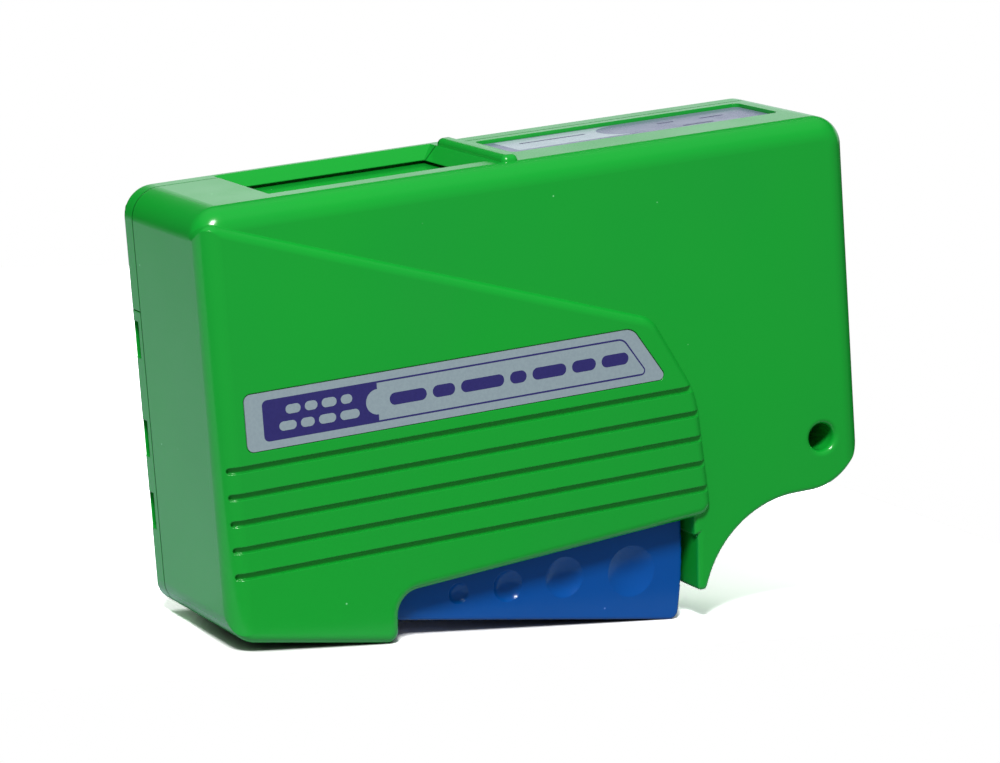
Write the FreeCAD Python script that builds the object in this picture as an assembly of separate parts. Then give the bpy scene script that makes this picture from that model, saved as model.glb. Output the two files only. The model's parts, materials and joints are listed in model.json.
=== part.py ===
"""Fibre optic cleaning cassette: a reel of cleaning tape in a snap-together case.

Case frame while modelling, in millimetres: x runs from the left end to the right end, y from the front
grip face to the back, and drop is the distance below the flat top. The finished pieces are then turned to
stand on the foot and the tip of the lever, as the cassette rests on a table. The origin is under its middle.
"""
import FreeCAD, Part
import math
import os

# Case, seen from the front
LENGTH = 118.7
WIDTH = 35.0
WALL = 2.0
TOP_WALL = 2.3
COVER_DEPTH = 5.8           # rear cover, from the seam to its grip face
PANEL_STEP = 1.2            # grip panels stand this far out of the case faces
TOP_CORNER = 5.0
HEEL_CORNER = 10.4
EDGE_ROUND = 3.8            # front edges of the case
BACK_ROUND = 1.5            # back edges of the case
SMALL_ROUND = 0.8           # edges of the hook and of the lever gap
SEAM_BEVEL = 0.15           # bevel on both halves where they meet
END_CAP_LENGTH = 18.0       # right end of each half, with the lanyard hole

# Foot at the left and finger hook at the right, with the lever gap between them
FOOT_LENGTH = 29.1
FOOT_DROP = 75.6
FOOT_SLOPE = 0.191          # rise of the foot's underside towards the left end
FOOT_CORNER = 1.5
FOOT_LEAN = 0.6             # the foot is this much longer at its top
GAP_ABOVE_PIVOT = 1.8       # lower edge of the walls over the lever, right end
GAP_FALL = 3.2              # that edge is this much lower at the foot
GAP_CORNER = 4.0
HOOK_FROM_RIGHT = 33.5      # inner side of the hook to the right end
HOOK_BELOW_FOOT = 1.6
HOOK_HEIGHT = 13.6          # hook's tip to the underside of the right end
HOOK_TIP = 2.2
HOOK_LEDGE = 0.6            # step in the hook's inner side
HOOK_LEDGE_HEIGHT = 3.2
HOOK_LEAN = 0.6             # the hook is this much nearer to the lever at its tip
HOOK_ROOT = 6.8
HOOK_CURVE = 18.8
HOOK_TIP_ROUND = 0.7

# Grip panels and their grooves
PANEL_START_DROP = 1.35
PANEL_PEAK_FROM_RIGHT = 39.4
PANEL_PEAK_ABOVE_LABEL = 0.95
PANEL_KNEE_FROM_RIGHT = 31.9
PANEL_KNEE_BELOW_PEAK = 14.1
PANEL_END_FROM_RIGHT = 30.4
PANEL_START_ROUND = 2.5
PANEL_PEAK_ROUND = 5.0
PANEL_KNEE_ROUND = 16.0
PANEL_HEEL_ROUND = 2.4
PANEL_FOOT_ROUND = 1.9
PANEL_ROUND = 1.7
PANEL_LEFT_ROUND = 3.6
GROOVES = 5
GROOVE_LAST_ABOVE_GAP = 4.86
GROOVE_PITCH = 4.36
GROOVE_WIDTH = 1.1
GROOVE_DEPTH = 0.7
GROOVE_START = 1.4

# Labels
LABEL_THICK = 0.3
LABEL_LEFT = 4.95
LABEL_HEIGHT = 9.65
LABEL_ABOVE_GROOVES = 2.4
LABEL_TOP_FROM_RIGHT = 43.6
LABEL_BOTTOM_FROM_RIGHT = 37.5
LABEL_ROUND = 1.3           # left corners of the front label
LABEL_TOP_ROUND = 2.6       # its upper right corner
LABEL_TIP_ROUND = 1.0       # its lower right corner
LABEL_GAP = 0.15
TOP_LABEL_DEPTH = 0.9
TOP_LABEL_NEAR = 12.6
TOP_LABEL_FROM_SEAM = 2.0
TOP_LABEL_FROM_RIB = 2.7
TOP_LABEL_FROM_RIGHT = 6.6
TOP_LABEL_ROUND = 1.2

# Top: shutter well and rib
WELL_LEFT = 15.6
WELL_RIGHT = 55.2
WELL_NEAR = 8.2
WELL_SLOPE_RIGHT = 2.2      # right and far wall lean out by this much over the top wall
WELL_SLOPE_FAR = 1.6
WELL_LIP = 0.4              # far wall of the well overhangs the shutter's slot by this much
RIB_FROM_WELL = 0.4
RIB_WIDTH = 3.0
RIB_RISE = 1.1
RIB_ROUND = 1.05
RIB_NEAR = 4.4              # rib's ends to the grip faces
RIB_FAR_INSET = 4.8

# Shutter and its rack
SHUTTER_TRAVEL = 27.7
SHUTTER_THICK = 1.2
SHUTTER_TOP_GAP = 0.6       # top wall to the shutter
SHUTTER_OVERLAP = 1.8
SHUTTER_SIDE = 3.2
SLIDE_GAP = 0.2
RAIL_REACH = 1.0            # rails support the shutter over this width
RAIL_THICK = 1.6
RAIL_SPARE = 2.0
RACK_MODULE = 1.0
RACK_END_GAP = 1.2          # rack to the left wall at rest
RACK_SPARE = 3.5            # rack beyond the meshing point at each end of the travel
RACK_PITCH_DROP = 9.0

# Lever
PIVOT_X = 12.0
PIVOT_ABOVE_FOOT = 9.6
PIN_RADIUS = 1.5
PIN_CLEARANCE = 0.05
PIN_COVER = 0.8             # wall over the ends of the pin
BARREL_RADIUS = 3.6
LEVER_INSET = 4.5           # lever's side faces lie this far inside the grip faces
LEVER_WALL = 2.0
LEVER_GAP = 0.9             # lever's end to the hook
LEVER_HEEL_LENGTH = 2.5     # lever to the left of its pivot
LEVER_TOP_ABOVE_PIVOT = 5.0
LEVER_HEEL_BELOW_PIVOT = 2.9
LEVER_SLOPE = 0.1848        # fall of the underside towards the right
LEVER_CORNER = 1.6
LEVER_EDGE = 0.5

# Finger dimples: distance from the hook, height over the underside, radius, depth
DIMPLES = ((43.2, 4.6, 1.8, 0.9), (34.1, 5.9, 2.7, 1.1), (23.6, 7.4, 3.5, 1.1), (11.0, 8.5, 4.4, 1.0))

# Lever sector, compound drive gear
SECTOR_MODULE = 0.8
SECTOR_SPARE_TEETH = 2
PINION_TEETH = 14
GEAR_TEETH = 42
PRESSURE_ANGLE = math.radians(20.0)
ADDENDUM = 0.8              # in modules
DEDENDUM = 1.1              # in modules
BACKLASH = 0.24
GEAR_THICK = 2.2
GEAR_GAP = 0.5              # gear disc to the ratchet
PINION_THICK = 3.0
PINION_END_GAP = 1.3        # pinion to the inside of the rear cover
SECTOR_INSET = 0.4          # sector stands clear of the gear disc
SECTOR_THICK = 2.4
GEAR_HOLES = 5
GEAR_HOLE_RADIUS = 3.2

# Reels
AXLE_RADIUS = 2.4
AXLE_CLEARANCE = 0.08
AXLE_SEAT = 1.0             # drive axle in the rear cover
SUPPLY_AXLE_SEAT = 3.0
REEL_GAP = 2.4              # reels to the inside of the front wall
FLANGE_RADIUS = 17.0
FLANGE_THICK = 1.0
HUB_RADIUS = 5.6
SUPPLY_FROM_RIGHT = 30.7
SUPPLY_DROP = 28.0
SUPPLY_ROLL_RADIUS = 15.0
TAKE_UP_ROLL_RADIUS = 8.0
TAPE_SIDE_GAP = 0.6         # tape to a flange
TAPE_THICK = 0.2
TAPE_GAP = 0.15
ROLL_GAP = 0.3
WASHER_THICK = 0.6
WASHER_RADIUS = 5.0

# Ratchet and pawls
RATCHET_TEETH = 16
RATCHET_RADIUS = 9.0
RATCHET_DEPTH = 1.3
RATCHET_THICK = 1.8
RATCHET_LEAN = 0.03         # lean of the steep flanks, in tooth pitches
PAWL_GAP = 0.3
PAWL_SIDE_GAP = 0.1
PAWL_PIVOT_RADIUS = 13.5
PAWL_ANGLE = math.radians(100.0)
PAWL_LEAD = 0.55            # drive pawl's post ahead of its nose, in radians
PAWL_NOSE = 1.6
PAWL_NOSE_GAP = 0.7         # drive pawl's nose to the tooth that it pushes
PAWL_NOSE_TURN = 0.2
PAWL_ARM = 3.5
PAWL_POST_RADIUS = 1.2
PAWL_CLEARANCE = 0.05
PAWL_EYE_RADIUS = 2.2
STOP_POST_DISTANCE = 20.0
STOP_POST_ANGLE = math.radians(200.0)
STOP_LEAD = 0.35

# Tape guides, window and pad
ROLLER_RADIUS = 2.5
ROLLER_POST_RADIUS = 1.2
ROLLER_RIM = 0.5
ROLLER_RIM_GAP = 0.1
ROLLER_END_GAP = 0.5        # rollers to the ends of the pad holder
ROLLER_DROP = 8.7
WINDOW_PLATE_THICK = 1.2
WINDOW_LEFT = 18.0
WINDOW_RIGHT = 43.0
WINDOW_EDGE = 1.5           # the window is narrower than the tape by this much at each side
TRAY_END = 2.5
TRAY_WALL = 0.9
TRAY_WALL_GAP = 0.3         # tape to the far wall of the pad holder
TRAY_FLOOR = 1.6
PAD_THICK = 2.5
PAD_ROUND = 0.8

# Return spring
SPRING_X = 60.5
SPRING_RADIUS = 4.0
SPRING_WIRE = 0.9
SPRING_TURNS = 5
SHELF_ABOVE_PIVOT = 19.0
SHELF_THICK = 2.2
SHELF_LENGTH = 12.0
STUD_RADIUS = 3.2
STUD_HEIGHT = 1.6
SEAT_RISE = 0.6             # spring's seat over the lever's sloping floor

# Lanyard hole
HOLE_FROM_RIGHT = 8.0
HOLE_ABOVE_HEEL = 8.9
HOLE_RADIUS = 2.35
HOLE_ROUND = 1.0
HOLE_BOSS = 2.0             # wall round the hole

# Snap hooks: drops of their middles at the left and the right end
LEFT_SNAPS = (25.1, 41.8, 54.1)
RIGHT_SNAPS = (25.1, 41.8)
SNAP_HEIGHT = 6.2
SNAP_WINDOW = 2.6
SNAP_COVER = 0.6            # wall left behind a window
SNAP_ARM = 1.3
SNAP_ROOT = 3.9             # arm's length in front of the seam
SNAP_GAP = 0.15
SNAP_CATCH = 1.2
SNAP_CATCH_FLAT = 0.65
SLIT_WIDTH = 0.2
SLIT_MARGIN = 1.9

# Places that follow from the sizes above
CUT_PAST = 1.0              # cutters run this far out of what they cut
TOLERANCE = 1e-4
ALONG_Y = FreeCAD.Vector(0, 1, 0)
MIDDLE = WIDTH / 2
SEAM = WIDTH - COVER_DEPTH
FRONT_FACE = PANEL_STEP
BACK_FACE = WIDTH - PANEL_STEP
FRONT_INSIDE = FRONT_FACE + WALL
BACK_INSIDE = BACK_FACE - WALL
PIVOT_DROP = FOOT_DROP - PIVOT_ABOVE_FOOT
GAP_DROP = PIVOT_DROP - GAP_ABOVE_PIVOT
HOOK_X = LENGTH - HOOK_FROM_RIGHT
HOOK_DROP = FOOT_DROP + HOOK_BELOW_FOOT
HEEL_DROP = HOOK_DROP - HOOK_HEIGHT
HOLE_X = LENGTH - HOLE_FROM_RIGHT
HOLE_DROP = HEEL_DROP - HOLE_ABOVE_HEEL
GROOVE_FIRST_DROP = GAP_DROP - GROOVE_LAST_ABOVE_GAP - (GROOVES - 1) * GROOVE_PITCH
LABEL_BOTTOM_DROP = GROOVE_FIRST_DROP - LABEL_ABOVE_GROOVES
LABEL_TOP_DROP = LABEL_BOTTOM_DROP - LABEL_HEIGHT
PANEL_PEAK_DROP = LABEL_TOP_DROP - PANEL_PEAK_ABOVE_LABEL
TOP_LABEL_FAR = SEAM - TOP_LABEL_FROM_SEAM
WELL_FAR = BACK_INSIDE - WELL_LIP
RIB_LEFT = WELL_RIGHT + RIB_FROM_WELL
RIB_RIGHT = RIB_LEFT + RIB_WIDTH
SHUTTER_DROP = TOP_WALL + SHUTTER_TOP_GAP
SHUTTER_UNDER = SHUTTER_DROP + SHUTTER_THICK
SHUTTER_NEAR = WELL_NEAR - SHUTTER_SIDE
SHUTTER_FAR = BACK_INSIDE - SLIDE_GAP
RAIL_DROP = SHUTTER_UNDER + SLIDE_GAP
RAIL_FAR = SHUTTER_NEAR + RAIL_REACH
RAIL_RIGHT = WELL_RIGHT + SHUTTER_OVERLAP + SHUTTER_TRAVEL + RAIL_SPARE
GEAR_RADIUS = GEAR_TEETH * RACK_MODULE / 2
PINION_RADIUS = PINION_TEETH * SECTOR_MODULE / 2
RACK_LEFT = WALL + RACK_END_GAP
DRIVE_X = RACK_LEFT + RACK_SPARE + SHUTTER_TRAVEL
DRIVE_DROP = RACK_PITCH_DROP + GEAR_RADIUS
DRIVE_AXIS = (DRIVE_X, DRIVE_DROP)
DRIVE_REACH = math.hypot(DRIVE_X - PIVOT_X, PIVOT_DROP - DRIVE_DROP)
DRIVE_ANGLE = math.atan2(PIVOT_DROP - DRIVE_DROP, DRIVE_X - PIVOT_X)
SECTOR_RADIUS = DRIVE_REACH - PINION_RADIUS
LEVER_TRAVEL = SHUTTER_TRAVEL / GEAR_RADIUS * PINION_RADIUS / SECTOR_RADIUS
PINION_FAR = BACK_INSIDE - PINION_END_GAP
GEAR_FAR = PINION_FAR - PINION_THICK
GEAR_NEAR = GEAR_FAR - GEAR_THICK
RATCHET_FAR = GEAR_NEAR - GEAR_GAP
REEL_FAR = RATCHET_FAR - RATCHET_THICK
REEL_NEAR = FRONT_INSIDE + REEL_GAP
TAPE_NEAR = REEL_NEAR + FLANGE_THICK + TAPE_SIDE_GAP
TAPE_FAR = REEL_FAR - FLANGE_THICK - TAPE_SIDE_GAP
PAWL_NEAR = REEL_FAR + PAWL_GAP
PAWL_FAR = GEAR_NEAR - PAWL_SIDE_GAP
LEVER_NEAR = LEVER_INSET
LEVER_FAR = WIDTH - LEVER_INSET
LEVER_LEFT = PIVOT_X - LEVER_HEEL_LENGTH
LEVER_TOP_DROP = PIVOT_DROP - LEVER_TOP_ABOVE_PIVOT
LEVER_HEEL_DROP = PIVOT_DROP + LEVER_HEEL_BELOW_PIVOT
LEVER_REACH = HOOK_X - LEVER_GAP - PIVOT_X
LEVER_LIFT = LEVER_WALL * math.hypot(1, LEVER_SLOPE)
PIN_NEAR = FRONT_FACE + PIN_COVER
PIN_FAR = BACK_FACE - PIN_COVER
SHELF_DROP = PIVOT_DROP - SHELF_ABOVE_PIVOT
SUPPLY_X = LENGTH - SUPPLY_FROM_RIGHT
AXLE_BORE = AXLE_RADIUS + AXLE_CLEARANCE
AXLE_TIP = PINION_FAR + AXLE_SEAT
SUPPLY_AXLE_TIP = REEL_FAR + SUPPLY_AXLE_SEAT
WASHER_NEAR = REEL_FAR + SLIDE_GAP
WASHER_FAR = WASHER_NEAR + WASHER_THICK
PLATE_DROP = RAIL_DROP + SLIDE_GAP
PLATE_UNDER = PLATE_DROP + WINDOW_PLATE_THICK
PAD_TOP_DROP = ROLLER_DROP - ROLLER_RADIUS - TAPE_GAP
TRAY_FLOOR_DROP = PAD_TOP_DROP + PAD_THICK
TRAY_UNDER = TRAY_FLOOR_DROP + TRAY_FLOOR
TRAY_LEFT = WINDOW_LEFT - TRAY_END
TRAY_RIGHT = WINDOW_RIGHT + TRAY_END
TRAY_FAR = TAPE_FAR + TRAY_WALL_GAP + TRAY_WALL
ROLLER_NEAR = TAPE_NEAR - ROLLER_RIM_GAP - ROLLER_RIM
ROLLER_FAR = TAPE_FAR + ROLLER_RIM_GAP + ROLLER_RIM
LEFT_ROLLER_X = TRAY_LEFT - ROLLER_END_GAP - ROLLER_RIM - ROLLER_RADIUS
RIGHT_ROLLER_X = TRAY_RIGHT + ROLLER_END_GAP + ROLLER_RIM + ROLLER_RADIUS
SNAP_FAR = BACK_FACE - SNAP_COVER
SNAP_NEAR = SNAP_FAR - SNAP_WINDOW


def point(x, drop, y=0.0):
    return FreeCAD.Vector(x, y, -drop)


def corner_round(before, spot, after, radius):
    """Start, middle, end and centre of the round at a corner between two straight edges."""
    way_in = (spot - before).normalize()
    way_out = (after - spot).normalize()
    turn = way_in.getAngle(way_out)
    reach = radius * math.tan(turn / 2)
    inward = (way_out - way_in).normalize()
    to_centre = radius / math.cos(turn / 2)
    middle = spot + inward * (to_centre - radius)
    return spot - way_in * reach, middle, spot + way_out * reach, spot + inward * to_centre


def rounded_wire(corners, y=0.0):
    """Closed outline in a plane of constant y. Each corner is (x, drop, radius)."""
    spots = [point(x, drop, y) for x, drop, radius in corners]
    count = len(corners)
    edges = []
    starts, ends = [], []
    for i in range(count):
        radius = corners[i][2]
        start, end = spots[i], spots[i]
        if radius:
            after = spots[(i + 1) % count]
            start, middle, end, centre = corner_round(spots[i - 1], spots[i], after, radius)
            edges.append(Part.Arc(start, middle, end).toShape())
        starts.append(start)
        ends.append(end)
    for i in range(count):
        next_start = starts[(i + 1) % count]
        if ends[i].distanceToPoint(next_start) > TOLERANCE:
            edges.append(Part.makeLine(ends[i], next_start))
    return Part.Wire(Part.__sortEdges__(edges))


def prism(corners, near, far):
    face = Part.Face(rounded_wire(corners, near))
    return face.extrude(ALONG_Y * (far - near))


def block(left, right, top, bottom, near, far):
    return Part.makeBox(right - left, far - near, bottom - top, point(left, bottom, near))


def disc(x, drop, radius, near, far):
    return Part.makeCylinder(radius, far - near, point(x, drop, near), ALONG_Y)


def tube(x, drop, radius, bore, near, far):
    return disc(x, drop, radius, near, far).cut(disc(x, drop, bore, near, far))


def fuse(first, *others):
    return first.fuse(list(others)).removeSplitter()


def flip(shape):
    """Mirror a piece of the front to the back of the case."""
    return shape.mirror(point(0, 0, MIDDLE), ALONG_Y)


def foot_drop(x):
    return FOOT_DROP - FOOT_SLOPE * (FOOT_LENGTH - x)


def case_corners():
    ledge_drop = GAP_DROP + HOOK_LEDGE_HEIGHT
    return [
        (0, 0, TOP_CORNER),
        (LENGTH, 0, TOP_CORNER),
        (LENGTH, HEEL_DROP, HEEL_CORNER),
        (HOOK_X + HOOK_ROOT, HEEL_DROP, HOOK_CURVE),
        (HOOK_X - HOOK_LEAN + HOOK_TIP, HOOK_DROP, HOOK_TIP_ROUND),
        (HOOK_X - HOOK_LEAN + HOOK_LEDGE, HOOK_DROP, HOOK_TIP_ROUND),
        (HOOK_X + HOOK_LEDGE, ledge_drop, 0),
        (HOOK_X, ledge_drop, 0),
        (HOOK_X, GAP_DROP, 0),
        (FOOT_LENGTH + FOOT_LEAN, GAP_DROP + GAP_FALL, GAP_CORNER),
        (FOOT_LENGTH, FOOT_DROP, FOOT_CORNER),
        (0, foot_drop(0), TOP_CORNER),
    ]


def cavity_corners():
    inner = TOP_CORNER - WALL
    open_end = HOOK_DROP + FOOT_DROP
    floor_right = foot_drop(FOOT_LENGTH) - WALL
    return [
        (WALL, TOP_WALL, inner),
        (LENGTH - WALL, TOP_WALL, inner),
        (LENGTH - WALL, HEEL_DROP - WALL, HEEL_CORNER - WALL),
        (HOOK_X, HEEL_DROP - WALL, 0),
        (HOOK_X - HOOK_LEAN, open_end, 0),
        (FOOT_LENGTH + FOOT_LEAN, open_end, 0),
        (FOOT_LENGTH, floor_right, 0),
        (WALL, foot_drop(WALL) - WALL, inner),
    ]


def gap_edge_drop(x):
    """Lower edge of the wall over the lever, carried on to the right."""
    fall = GAP_FALL / (HOOK_X - FOOT_LENGTH - FOOT_LEAN)
    return GAP_DROP - fall * (x - HOOK_X)


def panel_corners():
    right = LENGTH - PANEL_END_FROM_RIGHT
    return [
        (0, PANEL_START_DROP, PANEL_START_ROUND),
        (LENGTH - PANEL_PEAK_FROM_RIGHT, PANEL_PEAK_DROP, PANEL_PEAK_ROUND),
        (LENGTH - PANEL_KNEE_FROM_RIGHT, PANEL_PEAK_DROP + PANEL_KNEE_BELOW_PEAK, PANEL_KNEE_ROUND),
        (right, gap_edge_drop(right), PANEL_HEEL_ROUND),
        (FOOT_LENGTH + FOOT_LEAN, GAP_DROP + GAP_FALL, GAP_CORNER),
        (FOOT_LENGTH, FOOT_DROP, PANEL_FOOT_ROUND),
        (0, foot_drop(0), TOP_CORNER),
    ]


def edges_at(solid, y):
    """Edges that lie in the plane of constant y."""
    chosen = []
    for edge in solid.Edges:
        box = edge.BoundBox
        if abs(box.YMin - y) < TOLERANCE and abs(box.YMax - y) < TOLERANCE:
            chosen.append(edge)
    return chosen


def left_rounded_block(inset, radius):
    """Stock whose left front edge is rounded, set in from the grip face and the left end."""
    stock = block(inset, LENGTH, -LENGTH, LENGTH, inset, WIDTH)
    edge = [e for e in edges_at(stock, inset) if e.BoundBox.XMax < inset + TOLERANCE]
    return stock.makeFillet(radius, edge)


def groove(drop):
    """Cutter for one grip groove. It keeps its depth round the left edge of the case."""
    half = GROOVE_WIDTH / 2
    top, bottom = drop - half, drop + half
    slab = prism([
        (GROOVE_START, top, half),
        (LENGTH, top, 0),
        (LENGTH, bottom, 0),
        (GROOVE_START, bottom, half),
    ], -CUT_PAST, PANEL_LEFT_ROUND)
    return slab.cut(left_rounded_block(GROOVE_DEPTH, PANEL_LEFT_ROUND - GROOVE_DEPTH))


def case_half(depth, edge_round):
    """Solid half of the case behind its grip face, with rounded edges, grip panel and grooves."""
    skin = prism(case_corners(), FRONT_FACE, depth)
    skin = skin.makeFillet(SMALL_ROUND, edges_at(skin, FRONT_FACE))
    skin = skin.makeChamfer(SEAM_BEVEL, edges_at(skin, depth))
    below = HOOK_DROP + FOOT_DROP
    stock = prism([(0, 0, TOP_CORNER), (LENGTH, 0, TOP_CORNER), (LENGTH, below, 0), (0, below, 0)],
                  FRONT_FACE, depth)
    outer = [e for e in edges_at(stock, FRONT_FACE) if e.BoundBox.ZMax > TOLERANCE - below]
    skin = skin.common(stock.makeFillet(edge_round, outer))
    panel = prism(panel_corners(), 0, FRONT_FACE + PANEL_LEFT_ROUND)
    panel = panel.makeFillet(PANEL_ROUND, edges_at(panel, 0))
    panel = panel.common(left_rounded_block(0, PANEL_LEFT_ROUND))
    half = fuse(skin, panel)
    cuts = [groove(GROOVE_FIRST_DROP + i * GROOVE_PITCH) for i in range(GROOVES)]
    return half.cut(cuts)


def rib():
    """Rounded rib across the top of the case, over both halves."""
    bar = block(RIB_LEFT, RIB_RIGHT, -RIB_RISE, TOP_WALL / 2, RIB_NEAR, WIDTH - RIB_FAR_INSET)
    top_edges = [e for e in bar.Edges if e.BoundBox.ZMin > RIB_RISE - TOLERANCE]
    end_edges = [e for e in bar.Edges if e.BoundBox.ZLength > RIB_RISE]
    return bar.makeFillet(RIB_ROUND, top_edges + end_edges)


def well():
    """Opening over the shutter. Its right and far wall slope in towards the shutter."""
    right, far = WELL_RIGHT - WELL_SLOPE_RIGHT, WELL_FAR - WELL_SLOPE_FAR
    through = block(WELL_LEFT, right, -CUT_PAST, RAIL_DROP, WELL_NEAR, far)
    rims = []
    for drop, x, y in ((0, WELL_RIGHT, WELL_FAR), (TOP_WALL, right, far)):
        corners = [point(WELL_LEFT, drop, WELL_NEAR), point(x, drop, WELL_NEAR), point(x, drop, y),
                   point(WELL_LEFT, drop, y)]
        rims.append(Part.makePolygon(corners + corners[:1]))
    return fuse(Part.makeLoft(rims, True), through)


def top_label_box(inset, top, bottom):
    box = block(RIB_RIGHT + TOP_LABEL_FROM_RIB + inset, LENGTH - TOP_LABEL_FROM_RIGHT - inset,
                top, bottom, TOP_LABEL_NEAR + inset, TOP_LABEL_FAR - inset)
    upright = [e for e in box.Edges if e.BoundBox.ZLength > (bottom - top) / 2]
    return box.makeFillet(TOP_LABEL_ROUND - inset, upright)


def front_label_corners(inset):
    top, bottom = LABEL_TOP_DROP + inset, LABEL_BOTTOM_DROP - inset
    slant = (LABEL_TOP_FROM_RIGHT - LABEL_BOTTOM_FROM_RIGHT) / LABEL_HEIGHT
    inner_end = LENGTH - LABEL_TOP_FROM_RIGHT - inset * math.hypot(1, slant)
    left = LABEL_LEFT + inset
    right_top = inner_end + slant * inset
    right_bottom = inner_end + slant * (LABEL_HEIGHT - inset)
    return [
        (left, top, LABEL_ROUND - inset),
        (right_top, top, LABEL_TOP_ROUND - inset),
        (right_bottom, bottom, LABEL_TIP_ROUND - inset),
        (left, bottom, LABEL_ROUND - inset),
    ]


def snap_places():
    """Each snap hook: drop of its middle, and whether it is on the right end."""
    return [(drop, False) for drop in LEFT_SNAPS] + [(drop, True) for drop in RIGHT_SNAPS]


def at_end(shape, right):
    if right:
        return shape.mirror(point(LENGTH / 2, 0), FreeCAD.Vector(1, 0, 0))
    return shape


def snap_arm(drop, right):
    half = SNAP_HEIGHT / 2 - SNAP_GAP
    inner = WALL + SNAP_GAP
    tip = SNAP_FAR - SNAP_GAP
    start = SEAM - SNAP_ROOT
    arm = block(inner, inner + SNAP_ARM, drop - half, drop + half, start, tip)
    root = block(WALL / 2, inner + SNAP_ARM, drop - half, drop + half, start, SEAM - SNAP_ARM)
    catch_near = SNAP_NEAR + SNAP_GAP
    profile = [
        FreeCAD.Vector(inner, catch_near, -drop - half),
        FreeCAD.Vector(inner - SNAP_CATCH, catch_near, -drop - half),
        FreeCAD.Vector(inner - SNAP_CATCH, catch_near + SNAP_CATCH_FLAT, -drop - half),
        FreeCAD.Vector(inner, tip, -drop - half),
    ]
    face = Part.Face(Part.makePolygon(profile + profile[:1]))
    catch = face.extrude(FreeCAD.Vector(0, 0, 2 * half))
    return at_end(fuse(arm, root, catch), right)


def snap_window(drop, right):
    half = SNAP_HEIGHT / 2
    window = block(-CUT_PAST, WALL + SNAP_ARM + 2 * SNAP_GAP, drop - half, drop + half, SNAP_NEAR, SNAP_FAR)
    return at_end(window, right)


def snap_slits():
    """A slit above each row of windows, so that the skirt can spring outwards."""
    slits = []
    for row, right in ((LEFT_SNAPS, False), (RIGHT_SNAPS, True)):
        drop = row[0] - SNAP_HEIGHT / 2 - SLIT_MARGIN
        slit = block(-CUT_PAST, WALL, drop, drop + SLIT_WIDTH, SEAM - CUT_PAST, SNAP_FAR)
        slits.append(at_end(slit, right))
    return slits


def polar(centre, radius, angle):
    """Point (x, drop) at an angle counted from the right, turning upwards."""
    return (centre[0] + radius * math.cos(angle), centre[1] - radius * math.sin(angle))


def stop_post():
    """Centre of the post that carries the anti-reverse pawl."""
    return polar(DRIVE_AXIS, STOP_POST_DISTANCE, STOP_POST_ANGLE)


def hole_boss(near, far):
    return disc(HOLE_X, HOLE_DROP, HOLE_RADIUS + HOLE_BOSS, near, far)


def drill_lanyard_hole(solid, face):
    """Drill the lanyard hole and round its mouth at the given face."""
    drilled = solid.cut(disc(HOLE_X, HOLE_DROP, HOLE_RADIUS, -CUT_PAST, WIDTH + CUT_PAST))
    mouth = []
    for edge in edges_at(drilled, face):
        spot = edge.BoundBox.Center
        if math.hypot(spot.x - HOLE_X, spot.z + HOLE_DROP) < HOLE_RADIUS:
            mouth.append(edge)
    return drilled.makeFillet(HOLE_ROUND, mouth)


def front_shell():
    shell = case_half(SEAM, EDGE_ROUND)
    shell = shell.cut(prism(cavity_corners(), FRONT_INSIDE, SEAM + CUT_PAST))
    root = FRONT_FACE + WALL / 2
    seat = REEL_NEAR - SLIDE_GAP
    shelf_half = SHELF_LENGTH / 2
    added = [
        hole_boss(root, SEAM),
        disc(*DRIVE_AXIS, AXLE_RADIUS, root, AXLE_TIP),
        disc(*DRIVE_AXIS, HUB_RADIUS, root, seat),
        disc(SUPPLY_X, SUPPLY_DROP, AXLE_RADIUS, root, SUPPLY_AXLE_TIP),
        disc(SUPPLY_X, SUPPLY_DROP, HUB_RADIUS, root, seat),
        disc(*stop_post(), PAWL_EYE_RADIUS, root, PAWL_NEAR),
        disc(*stop_post(), PAWL_POST_RADIUS, root, PAWL_FAR),
        disc(PIVOT_X, PIVOT_DROP, BARREL_RADIUS, root, LEVER_NEAR - SLIDE_GAP),
        block(WALL / 2, RAIL_RIGHT, RAIL_DROP, RAIL_DROP + RAIL_THICK, root, RAIL_FAR),
        block(TRAY_LEFT, TRAY_RIGHT, RAIL_DROP, TRAY_UNDER, root, RAIL_FAR),
        block(SPRING_X - shelf_half, SPRING_X + shelf_half, SHELF_DROP - SHELF_THICK, SHELF_DROP,
              root, MIDDLE + shelf_half),
        Part.makeCylinder(STUD_RADIUS, STUD_HEIGHT, point(SPRING_X, SHELF_DROP + STUD_HEIGHT, MIDDLE)),
        rib().common(block(0, LENGTH, -LENGTH, LENGTH, 0, SEAM)),
    ]
    for x in (LEFT_ROLLER_X, RIGHT_ROLLER_X):
        added.append(disc(x, ROLLER_DROP, ROLLER_POST_RADIUS, root, ROLLER_FAR + SLIDE_GAP))
        added.append(disc(x, ROLLER_DROP, ROLLER_RADIUS, root, ROLLER_NEAR - SLIDE_GAP))
    added += [snap_arm(drop, right) for drop, right in snap_places()]
    shell = fuse(shell, *added)
    label_recess = prism(front_label_corners(0), -CUT_PAST, LABEL_THICK)
    pin_socket = disc(PIVOT_X, PIVOT_DROP, PIN_RADIUS, PIN_NEAR, LEVER_NEAR)
    shell = shell.cut([well(), top_label_box(0, -CUT_PAST, TOP_LABEL_DEPTH), label_recess, pin_socket])
    return drill_lanyard_hole(shell, FRONT_FACE)


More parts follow.
